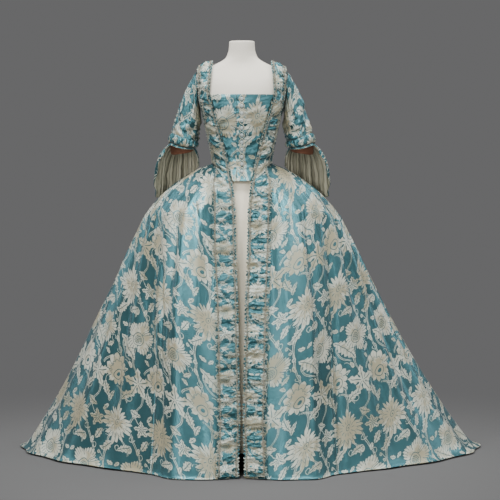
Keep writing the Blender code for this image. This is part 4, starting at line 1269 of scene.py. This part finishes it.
for name, half in HALVES.items():
    downs, shares = np.meshgrid(np.linspace(0, 1, 90), np.linspace(0, 1, 70), indexing="ij")
    grid = bodice_side(downs, shares, half)
    flat = front_flat(grid) * np.array([half["side"], 1])
    piece = sew(f"bodice_{name}_silk", grid, flat, brocade, side=half["side"], inside=lining_silk)
    declare(piece, grid, [f"bodice_{name}"])

    x_share, over = np.meshgrid(np.linspace(0, 1, 22), np.linspace(-1, 1, 90), indexing="ij")
    grid = strap_point(x_share, over)
    grid = grid + normals_of(grid) * SILK
    flat = np.stack([steps(grid, 0) * half["side"], -steps(grid, 1) + 1.27], axis=-1)
    piece = sew(f"shoulder_{name}_silk", grid, flat, brocade, side=half["side"], inside=lining_silk)
    declare(piece, grid, [f"shoulder_{name}"])

heights, shares = np.meshgrid(np.linspace(SHOULDER_SEAM_HEIGHT - 0.001, WAIST_HEIGHT, 70),
                              np.linspace(0.004, 0.996, 60), indexing="ij")
grid = back_panel(heights, shares)
piece = sew("bodice_back_silk", grid, front_flat(grid), brocade, inside=lining_silk)
declare(piece, grid, ["bodice_back"])

# %% [markdown]
# ## Skirt panels
# The open front and the side are cut from the same surface, so their seam lies hidden in a fold. The
# cloth's places run on from one panel to the next and are never mirrored, because a weaver's length
# of silk has only one right way round.

# %% Skirt panels
FRONT_COLUMNS = 64
SIDE_COLUMNS = 130
skirt_rows = spread_rows((0, 0.30, 50), (0.30, 0.90, 66), (0.90, 1.0, 24))
for name, half in HALVES.items():
    seam = SEAM / mix(0.22, 2.6, skirt_rows)
    front_end = FRONT_SEAM_SHARE - SEAM / mix(0.25, 1.15, skirt_rows)
    fronts = np.linspace(0, 1, FRONT_COLUMNS)[None, :] * front_end[:, None]
    sides = mix(FRONT_SEAM_SHARE, (1 - seam)[:, None], np.linspace(0, 1, SIDE_COLUMNS)[None, :])
    whole = np.concatenate([fronts, sides], axis=1)
    surface = skirt(whole, skirt_rows[:, None], half)
    surface = surface + normals_of(surface) * SILK
    first = surface[0, 0, 0] * half["side"]
    flat = flat_places(surface) * np.array([half["side"], 1]) + np.array([first, 0])
    for part, picked in (("front", slice(0, FRONT_COLUMNS)), ("side", slice(FRONT_COLUMNS, None))):
        piece = sew(f"skirt_{part}_{name}_silk", surface[:, picked], flat[:, picked], brocade,
                    side=half["side"], inside=lining_silk)
        declare(piece, surface[:, picked],
                [f"skirt_{part}_{name}"])

# %% [markdown]
# ## The sack back
# Two stacked box pleats on each side of the middle are sewn flat at the neck. Below the shoulder blades
# they open into a train that spreads on the floor.

# %% Sack back
SACK_WAIST_SHARE = 0.25
SACK_COLUMNS = 161
SACK_NECK_CORNER = (0.094, 0.083, 1.345)
SACK_NECK_WIDER = 0.009
SACK_SIDE_SWELL = 0.034
SACK_FOLD_RISE = 0.030
SACK_BOX_RISE = 0.013
SACK_CENTRE = columns(
    "share back height",
    [
        (0.00, 0.088, 1.352),
        (0.07, 0.110, 1.280),
        (0.25, 0.232, 1.010),
        (0.50, 0.410, 0.625),
        (0.74, 0.600, 0.225),
        (0.86, 0.712, 0.045),
        (0.93, 0.800, 0.010),
        (1.00, 0.900, 0.004),
    ],
)


def sack_pleats(across, fall):
    """Two stacked box pleats on each side of the middle, sharp at the neck and rounder below."""
    q = np.abs(across)
    box = soft_step(0.0, 0.10, q) * 0.6 - 0.5 * soft_step(0.42, 0.54, q) - 0.5 * soft_step(0.90, 1.0, q)
    rolls = 0.5 + 0.5 * np.cos(TURN * (q * 2.5 - 0.5))
    sharp = 1 - soft_step(0.15, 0.55, fall)
    flat = 1 - 0.6 * soft_step(0.84, 1.0, fall)
    height = mix(SACK_FOLD_RISE * rolls * flat, SACK_BOX_RISE * (box + 0.4), sharp)
    height = height + 0.0020 * ripple(across * 0.5, fall * 0.4, 0.10, 31) * soft_step(0.2, 0.5, fall)
    return height * (1 - soft_step(0.88, 1.0, q)) * soft_step(-0.02, 0.06, fall)


def sack(across, fall):
    """A point of the sack back: across from -1 to 1 over its width, fall from the neck to the hem."""
    across, fall = np.broadcast_arrays(np.asarray(across, float), np.asarray(fall, float))
    centre_y, centre_z = (read(SACK_CENTRE, name, fall) for name in ("back", "height"))
    neck = np.clip(fall / SACK_WAIST_SHARE, 0, 1)
    down = np.clip((fall - SACK_WAIST_SHARE) / (1 - SACK_WAIST_SHARE), 0, 1)
    seams = {name: skirt(np.ones_like(fall), down, half) for name, half in HALVES.items()}
    seam = np.where((across > 0)[..., None], seams["left"], seams["right"])
    edge = [mix(SACK_NECK_CORNER[k], seam[..., k], neck) for k in range(3)]
    over_bodice = 1 - soft_step(SACK_WAIST_SHARE, SACK_WAIST_SHARE + 0.04, fall)
    edge[1] = edge[1] + SACK_SIDE_SWELL * np.sin(neck * math.pi) + 0.005 * over_bodice
    reach = across**2
    sewn_down = 1 - soft_step(0, 0.05, fall)
    x = (edge[0] - 2 * SEAM + SACK_NECK_WIDER * sewn_down) * across
    y = mix(centre_y, edge[1], reach) - (0.012 + 0.011 * reach) * sewn_down
    z = mix(centre_z, edge[2], reach)
    lift = sack_pleats(across, fall)
    floor_share = 1 - soft_step(0.80, 0.95, fall)
    return points(x, y + lift * 0.9, z + lift * mix(0.5, 0.4, floor_share))


falls = spread_rows((0, 0.30, 48), (0.30, 0.80, 50), (0.80, 1.0, 32))
grid = sack(*np.meshgrid(falls, np.linspace(1, -1, SACK_COLUMNS), indexing="ij")[::-1])
grid = grid + normals_of(grid) * SILK
right = steps(grid, 1)
middle = SACK_COLUMNS // 2
flat = np.stack([right - right[:, middle:middle + 1], -steps(grid, 0)], axis=-1)
piece = sew("sack_back_silk", grid, flat, brocade, inside=lining_silk)
declare(piece, grid, ["sack_back"])

# %% [markdown]
# ## Ruched bands
# A long strip of the same silk is drawn up on threads along both edges, so it rises in puffs between
# its gathers, with fine crosswise puckers and a small frilled heading outside each thread. It runs in
# one length from the back of the shoulder to the hem, and below the hip it reaches a little farther
# over the skirt's opening.

# %% Ruched bands
TRIM_WIDTH_SKIRT = 0.074
TRIM_WIDTH_WAIST = 0.062
TRIM_WIDTH_SHOULDER = 0.044
PUFF_LENGTH = 0.050
PUFF_RISE = 0.013
TRIM_LIFT = 0.0040
FRILL_SIDEWAYS = 0.0032
OPENING_CLOSES = 0.0075
BAND_CLOTH_WIDTH = 0.100
BAND_FULLNESS = 2.1
BAND_ROW_SPACING = 0.0022
BAND_COLUMNS = 29
PUCKER_RISE = 0.0031


def shoulder_rows(across):
    """Rows under the ruched band from the sack over the shoulder to the underarm level."""
    return [strap_point(across * 0.90 - 0.05, over) for over in np.linspace(0.86, -0.97, 40)]


def bodice_rows(across):
    """Rows under the ruched band from the underarm level to the waist seam."""
    rows = []
    turns = np.linspace(10, 90, 81)
    foot = WAIST_HEIGHT - FRONT_DIP + 0.012
    for level in np.linspace(UNDERARM_HEIGHT - 0.006, foot, 50):
        down = (UNDERARM_HEIGHT - level) / (UNDERARM_HEIGHT - foot)
        ring = body_ring(turns, level, out=EASE)
        reach = steps(ring[None], 1)[0]
        first = np.interp(robing_inner(level) - 0.002, ring[:, 0], reach)
        width = mix(TRIM_WIDTH_WAIST, TRIM_WIDTH_SHOULDER, soft_step(1.10, UNDERARM_HEIGHT, level))
        angle = np.interp(first + width * across, reach, turns)
        height = level + down**2 * (waist_line(angle) - waist_line(angle[0]))
        rows.append(body_ring(angle, height, out=EASE))
    return rows


def front_edge_rows(across, half):
    """Rows under the ruched band down the front edge of the skirt, measured across the cloth."""
    rows = []
    shares = np.linspace(0.001, 0.24, 50)
    for fall in np.linspace(0.018, 0.992, 160):
        line = skirt(shares, fall, half)
        width = mix(TRIM_WIDTH_WAIST, TRIM_WIDTH_SKIRT, soft_step(0, 0.12, fall))
        rows.append(skirt(np.interp(width * across, steps(line[None], 1)[0], shares), fall, half))
    return rows


def band_height(along, across, seed):
    """Height of the ruched band over the cloth under it."""
    puff = along + 0.16 * np.sin(along * 1.7 + seed) + 0.22 * (across - 0.5) * np.sin(along * 2.9 + seed)
    puff = puff + 0.05 * np.sin(across * 9 + along * 4.1)
    swell = np.abs(np.sin(math.pi * puff)) ** 0.5
    uneven = 0.82 + 0.18 * np.sin(along * 2.3 + seed * 0.7)
    edge = np.clip(np.abs(np.sin(math.pi * np.clip((across - 0.08) / 0.84, 0, 1))), 0, 1) ** 0.55
    puckers = ripple(along * 0.050, across * 0.018, 0.0110, seed) * 0.6
    puckers = puckers + ripple(along * 0.050, across * 0.022, 0.0062, seed + 1) * 0.5
    heading = 1 - soft_step(0.0, 0.10, np.minimum(across, 1 - across))
    frill = 0.5 + 0.5 * np.sin(along * 0.050 * TURN / 0.0095 + 2 * np.sin(along * 1.3))
    body = PUFF_RISE * uneven * swell * (0.22 + 0.78 * edge)
    puckered = PUCKER_RISE * puckers * (0.35 + 0.65 * swell) * (1 - heading)
    return body + puckered + heading * (0.0015 + 0.0050 * frill)


def at_stops(stops, along, table):
    """A table with a row for each place along the band, read again at the stops."""
    read_columns = [np.interp(stops, along, column) for column in table.reshape(len(table), -1).T]
    return np.stack(read_columns, axis=-1).reshape(len(stops), *table.shape[1:])


def band_base(across, half):
    """The cloth under the band, in evenly spaced rows, with its normals and the length along it."""
    fine = np.array(shoulder_rows(across) + bodice_rows(across) + front_edge_rows(across, half))
    out = normals_of(fine)
    along = steps(fine, 0)[:, len(across) // 2]
    stops = np.linspace(0, along[-1], int(along[-1] / BAND_ROW_SPACING))
    base, normal = at_stops(stops, along, fine), at_stops(stops, along, out)
    level = base[..., 2]
    base[..., 0] -= OPENING_CLOSES * (1 - soft_step(0.52, 0.80, level)) * soft_step(0.03, 0.18, level)
    return base, normal / np.linalg.norm(normal, axis=-1, keepdims=True), stops


bands = {}
for name, half in HALVES.items():
    across = np.linspace(0, 1, BAND_COLUMNS)
    base, out, stops = band_base(across, half)
    puffs = round(stops[-1] / PUFF_LENGTH)
    along = (stops / stops[-1] * puffs)[:, None]
    lift = TRIM_LIFT + SILK + band_height(along, across[None, :], half["seed"])
    frill = FRILL_SIDEWAYS * np.sin(stops * TURN / 0.0125 + 2 * np.sin(stops * 41))[:, None]
    edge = soft_step(0.86, 1.0, across) - soft_step(0.86, 1.0, 1 - across)
    sideways = np.gradient(base, axis=1)
    sideways /= np.linalg.norm(sideways, axis=-1, keepdims=True)
    grid = base + out * lift[..., None] + sideways * (frill * edge)[..., None]
    bands[name] = (base, out, stops, lift)
    flat = np.stack([np.broadcast_to(across * BAND_CLOTH_WIDTH, lift.shape) * half["side"],
                     np.broadcast_to(-stops[:, None] * BAND_FULLNESS, lift.shape)], axis=-1)
    piece = sew(f"robing_{name}_silk", grid, flat, brocade, side=half["side"], wall=0.0012)
    declare(piece, grid, [f"robing_{name}"])

# %% [markdown]
# ## Fly fringe
# Both edges of the band carry a narrow braid of silk with little tufts. A thin wavy cord makes the
# braid, and each tuft is a fan of five thin blades, all joined into one mesh for each band.

# %% Fly fringe
TUFT_SPACING = 0.0060
TUFT_LENGTH = 0.0085
BLADE_WIDTH = 0.0013
BRAID_RADIUS = 0.0014
BRAID_SWAY = 0.0028
BRAID_COLUMNS = {"inner": 3, "outer": BAND_COLUMNS - 4}


def tuft_mesh(name, places, outs, sides_way, material, seed, side):
    """Fans of thin blades at the given places, pointing out from the cloth."""
    draw = np.random.default_rng(seed)
    verts, faces = [], []
    for place, out, way in zip(places, outs, sides_way):
        ahead = np.cross(out, way)
        for fan in np.linspace(-1, 1, 5):
            lean = out * (0.55 + 0.25 * draw.random()) + way * fan * 0.9 + ahead * draw.uniform(-0.9, 0.9)
            tip = place + lean / np.linalg.norm(lean) * TUFT_LENGTH * draw.uniform(0.75, 1.1)
            wide = np.cross(lean, ahead + 0.3 * way)
            wide = wide / np.linalg.norm(wide) * BLADE_WIDTH / 2
            thick = np.cross(lean, wide)
            thick = thick / np.linalg.norm(thick) * BLADE_WIDTH / 2
            start = len(verts)
            verts += [place + wide, place - wide + thick, place - wide - thick, tip]
            faces += [(start, start + 1, start + 3), (start + 1, start + 2, start + 3),
                      (start + 2, start, start + 3), (start, start + 2, start + 1)]
    verts = (np.array(verts) * np.array([side, 1, 1])).tolist()
    return new_piece(name, verts, faces, [material], smooth=False)


for name, half in HALVES.items():
    base, out, stops, lift = bands[name]
    for edge, column in BRAID_COLUMNS.items():
        track = base[:, column] + out[:, column] * (lift[:, column] + 0.0006)[:, None]
        sideways = base[:, column + 1] - base[:, column - 1]
        sideways /= np.linalg.norm(sideways, axis=1, keepdims=True)
        weave = BRAID_SWAY * np.sin(stops * TURN / 0.0100 + 1.5 * np.sin(stops * 37))
        path = track + sideways * weave[:, None] + out[:, column] * 0.0008
        path = path * np.array([half["side"], 1, 1])
        braid = tube(f"braid_{edge}_{name}", path, BRAID_RADIUS, fly_thread, sides=5)
        picked = np.arange(2, len(stops) - 2, max(1, round(TUFT_SPACING / (stops[1] - stops[0]))))
        tufts = tuft_mesh(f"fly_fringe_{edge}_{name}", track[picked], out[picked, column],
                          sideways[picked], fly_thread, half["seed"] + column, half["side"])
        for piece in (braid, tufts):
            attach(piece, "root")

# %% [markdown]
# ## Sleeves
# A sleeve is a tube from the armhole to just below the elbow. The arm leans out a little, the silk
# creases at the front of the armhole and inside the elbow, and a narrow gathered band closes the end.

# %% Sleeves
ARMHOLE_HEIGHT = 1.286
ARMHOLE_HALF_HEIGHT = 0.050
ARMHOLE_DEPTH = 0.008
ARMHOLE_HALF_DEPTH = 0.052
ARMHOLE_LIFT = 0.0024
ARM_LEAN_DEG = 13.0
SLEEVE_END = {"front": 1.080, "back": 1.050, "outer": 1.090, "inner": 1.072}

ARM = columns(
    "share x y z half_width half_depth",
    [
        (0.00, 0.152, 0.008, 1.286, 0.044, 0.052),
        (0.20, 0.164, 0.008, 1.244, 0.044, 0.051),
        (0.50, 0.181, 0.006, 1.180, 0.0405, 0.048),
        (0.80, 0.197, 0.003, 1.118, 0.043, 0.047),
        (1.00, 0.2065, 0.001, 1.076, 0.044, 0.047),
    ],
)


def body_side(y, z):
    """How far the figure reaches sideways at this depth and height."""
    depth = np.where(y < 0, read(BODY, "front", z), read(BODY, "back", z))
    share = np.clip(np.abs(y) / depth, 0, 1)
    return read(BODY, "half_width", z) * (1 - share**ROUNDNESS) ** (1 / ROUNDNESS)


def armhole(turn_deg):
    """The seam where a sleeve meets the body. The turn starts outside at the top and runs to the front."""
    a = np.radians(turn_deg)
    y = ARMHOLE_DEPTH - ARMHOLE_HALF_DEPTH * np.sin(a)
    z = ARMHOLE_HEIGHT + ARMHOLE_HALF_HEIGHT * np.cos(a)
    return points(body_side(y, z) + EASE + SILK + ARMHOLE_LIFT, y, z)


def sleeve_end(turn_deg):
    """The height of the sleeve's lower edge around the arm."""
    front, back, outer, inner = SLEEVE_END.values()
    a = np.radians(turn_deg)
    middle = (front + back + outer + inner) / 4
    tilt = (outer - inner) / 2 * np.cos(a) + (front - back) / 2 * np.sin(a)
    return middle + tilt + (outer + inner - front - back) / 4 * np.cos(2 * a)


def sleeve(turn_deg, along, out=0.0):
    """A point of the left sleeve, from the armhole (0) to its lower edge (1)."""
    turn_deg, along = np.broadcast_arrays(np.asarray(turn_deg, float), np.asarray(along, float))
    a = np.radians(turn_deg)
    start = 0.32 * (1 - np.cos(a)) / 2
    lean = math.radians(ARM_LEAN_DEG)
    arm_share = np.interp(sleeve_end(turn_deg), ARM["z"][::-1], ARM["share"][::-1])
    lift = (read(ARM, "half_width", 1.0) * np.cos(a) * math.sin(lean)) / (ARM["z"][-2] - ARM["z"][-1]) * 0.2
    end = np.minimum(arm_share + lift, 1.12)
    cut = mix(start, end, along)
    arm = {name: read(ARM, name, cut) for name in ARM}
    half_width = (arm["half_width"] + out) * np.cos(a)
    past = np.clip(cut - 1, 0, 1)
    tube_points = points(
        arm["x"] + half_width * math.cos(lean) + past * 0.05,
        arm["y"] - (arm["half_depth"] + out) * np.sin(a),
        arm["z"] + half_width * math.sin(lean) - past * 0.21,
    )
    set_in = soft_step(0.0, 0.40, along)[..., None]
    found = armhole(turn_deg) * (1 - set_in) + tube_points * set_in
    clear = body_side(found[..., 1], found[..., 2]) + EASE + SILK + ARMHOLE_LIFT + out
    pressed = np.where(along > 0.02, np.maximum(found[..., 0], clear), found[..., 0])
    return points(pressed, found[..., 1], found[..., 2])


def sleeve_creases(turn_deg, along, seed):
    """Creases of the sleeve: fine gathers at the armhole, and slanting drags towards the elbow."""
    a = np.radians(turn_deg)
    gathers = 0.0022 * np.cos(19 * a + seed + 2 * np.sin(3 * a)) * soft_step(0.02, 0.12, along)
    gathers = gathers * (1 - soft_step(0.22, 0.50, along))
    drags = 0.0052 * ripple(a * 0.050 + along * 0.05, along * 0.14, 0.048, seed + 3)
    small = 0.0026 * ripple(a * 0.045 - along * 0.08, along * 0.22, 0.026, seed + 4)
    fade = soft_step(0.05, 0.30, along) * (1 - soft_step(0.80, 0.86, along))
    lowest = 0.0003 + 0.006 * (1 - soft_step(0.45, 0.62, along))
    lifted = gathers + (drags + small + 0.0022 * soft_step(0.4, 0.6, along)) * fade
    return np.maximum(lifted, -lowest)


def around(count):
    """Turns round the arm, from outside towards the back."""
    return -np.linspace(0, 360, count, endpoint=False)


def arm_flat(grid, side, shift=0.0):
    """Cloth places of a tube round the arm: round it, and up it."""
    ring = closed_ring(grid)
    round_share = np.linspace(0, 1, ring.shape[1])
    girth = float(steps(ring, 1)[len(ring) // 2, -1])
    down = steps(ring, 0)
    return np.stack([np.broadcast_to(-round_share * girth * side + shift, down.shape), -down], axis=-1)


RUST_DROP = 0.13
RUCHE_FULLNESS = 1.4

for name, half in HALVES.items():
    turns = around(100)
    turn, along = np.meshgrid(turns, np.linspace(0, 1, 84), indexing="xy")
    grid = sleeve(turn, along, out=SILK + sleeve_creases(turn, along, half["seed"]))
    flat = arm_flat(grid, half["side"], shift=0.06)
    piece = sew(f"sleeve_{name}_silk", grid, flat, brocade, side=half["side"], ring=True, inside=rust_linen)
    declare(piece, closed_ring(grid), [f"sleeve_{name}"])

    behind = (1 - np.sin(np.radians(turns))) / 2
    ends = 0.997 + RUST_DROP * soft_step(0.30, 0.95, behind)
    turn, along = np.meshgrid(turns, np.linspace(0, 1, 18), indexing="xy")
    along = mix(0.66, ends[None, :], along)
    grid = sleeve(turn, along, out=-SEAM - 0.0022 * soft_step(0.90, 0.99, along))
    piece = sew(f"sleeve_lining_{name}_linen", grid, arm_flat(grid, half["side"]), rust_linen,
                side=half["side"], ring=True, wall=LINEN)
    declare(piece, closed_ring(grid),
            [f"sleeve_lining_{name}"])

    turn, along = np.meshgrid(around(220), np.linspace(0.835, 0.995, 18), indexing="xy")
    level = (along - 0.84) / 0.15
    waves = np.abs(np.sin(9 * np.radians(turn) + np.sin(3 * np.radians(turn)))) ** 0.6
    puckers = ripple(np.radians(turn) * 0.05, level * 0.01, 0.006, half["seed"] + 8)
    swell = (0.0062 * waves + 0.0009 * puckers) * np.sin(math.pi * np.clip(level, 0, 1)) ** 0.6 + 0.0004
    grid = sleeve(turn, along, out=SILK + 0.0012 + LINEN + swell)
    flat = arm_flat(grid, half["side"]) * RUCHE_FULLNESS
    piece = sew(f"sleeve_ruche_{name}_silk", grid, flat, brocade, side=half["side"], ring=True, wall=0.0010)
    declare(piece, closed_ring(grid),
            [f"sleeve_ruche_{name}"])

# %% [markdown]
# ## Flounces
# The pagoda flounce is cut short in front and long behind the elbow. Its outside is brocade, its inside
# is pale lining silk, and fine pleats spread it into waves at the hem. From the front mostly the lining
# shows, so its material has pleats of its own: lines of painted shade in the hollows, and a bump.

# %% Flounces
FLOUNCE_WAVES = 7
FLOUNCE_PLEATS = 27
FLOUNCE_FRONT = 0.006
FLOUNCE_BACK = 0.185
FLOUNCE_SPREAD = 0.040
FLOUNCE_WALL = LINEN * 0.8
FLOUNCE_CLEARANCE = 0.010


def hip_height(x, y, half):
    """The height of the skirt's surface over a point of the plan, at the hip."""
    share, fall = np.meshgrid(np.linspace(0.2, 1, 90), np.linspace(0, 0.42, 60), indexing="ij")
    near = skirt(share, fall, half).reshape(-1, 3)
    away = np.hypot(near[:, 0] - x[..., None], near[:, 1] - y[..., None])
    return np.where(away < 0.016, near[:, 2], 0).max(axis=-1)


def flounce(turns_deg, falls, half):
    """The outer surface of a flounce, a row for each fall and a column for each turn."""
    a = np.radians(turns_deg)
    start = sleeve(turns_deg, 1.0)

    def at(length):
        """The plan of the cloth this far down it."""
        wide = FLOUNCE_SPREAD * (1 - np.exp(-length / 0.032))
        wave = 0.0075 * soft_step(0, 0.10, length) * np.cos(FLOUNCE_WAVES * a)
        wave = wave + 0.0040 * soft_step(0, 0.03, length) * np.cos(FLOUNCE_PLEATS * a + 2.5 * np.sin(2 * a))
        x = start[:, 0] + (wide + wave) * np.cos(a) * np.where(np.cos(a) < 0, 0.45, 1.0) + 0.06 * length
        y = start[:, 1] - (wide + wave) * np.sin(a) + 0.30 * length
        return x, y

    behind = (1 - np.sin(a)) / 2
    full = FLOUNCE_FRONT + (FLOUNCE_BACK - FLOUNCE_FRONT) * soft_step(0.26, 0.62, behind)
    for _ in range(6):
        room = start[:, 2] - hip_height(*at(full), half) - FLOUNCE_CLEARANCE
        full = np.minimum(full, np.maximum(room, 0.006))
    window = np.array([0.25, 0.5, 0.25])
    for _ in range(6):
        full = np.minimum(full, np.convolve(np.concatenate([full[-1:], full, full[:1]]), window, "valid"))
    return np.array([points(*at(full * fall), start[:, 2] - 0.0024 - full * fall) for fall in falls])


for name, half in HALVES.items():
    grid = flounce(around(243), np.linspace(0, 1, 30), half)
    outer = grid + normals_of(grid, ring=True) * LINEN
    flat = arm_flat(outer, half["side"], shift=0.03)
    piece = sew(f"flounce_{name}_silk", outer, flat, brocade, side=half["side"], ring=True,
                wall=FLOUNCE_WALL)
    declare(piece, closed_ring(outer), [f"flounce_{name}"])
    inner = grid - normals_of(grid, ring=True) * 3 * SEAM * 0.7
    piece = sew(f"flounce_lining_{name}_silk", inner, arm_flat(inner, half["side"]), pleated_silk,
                side=half["side"], ring=True, wall=FLOUNCE_WALL)
    declare(piece, closed_ring(inner),
            [f"flounce_lining_{name}"])
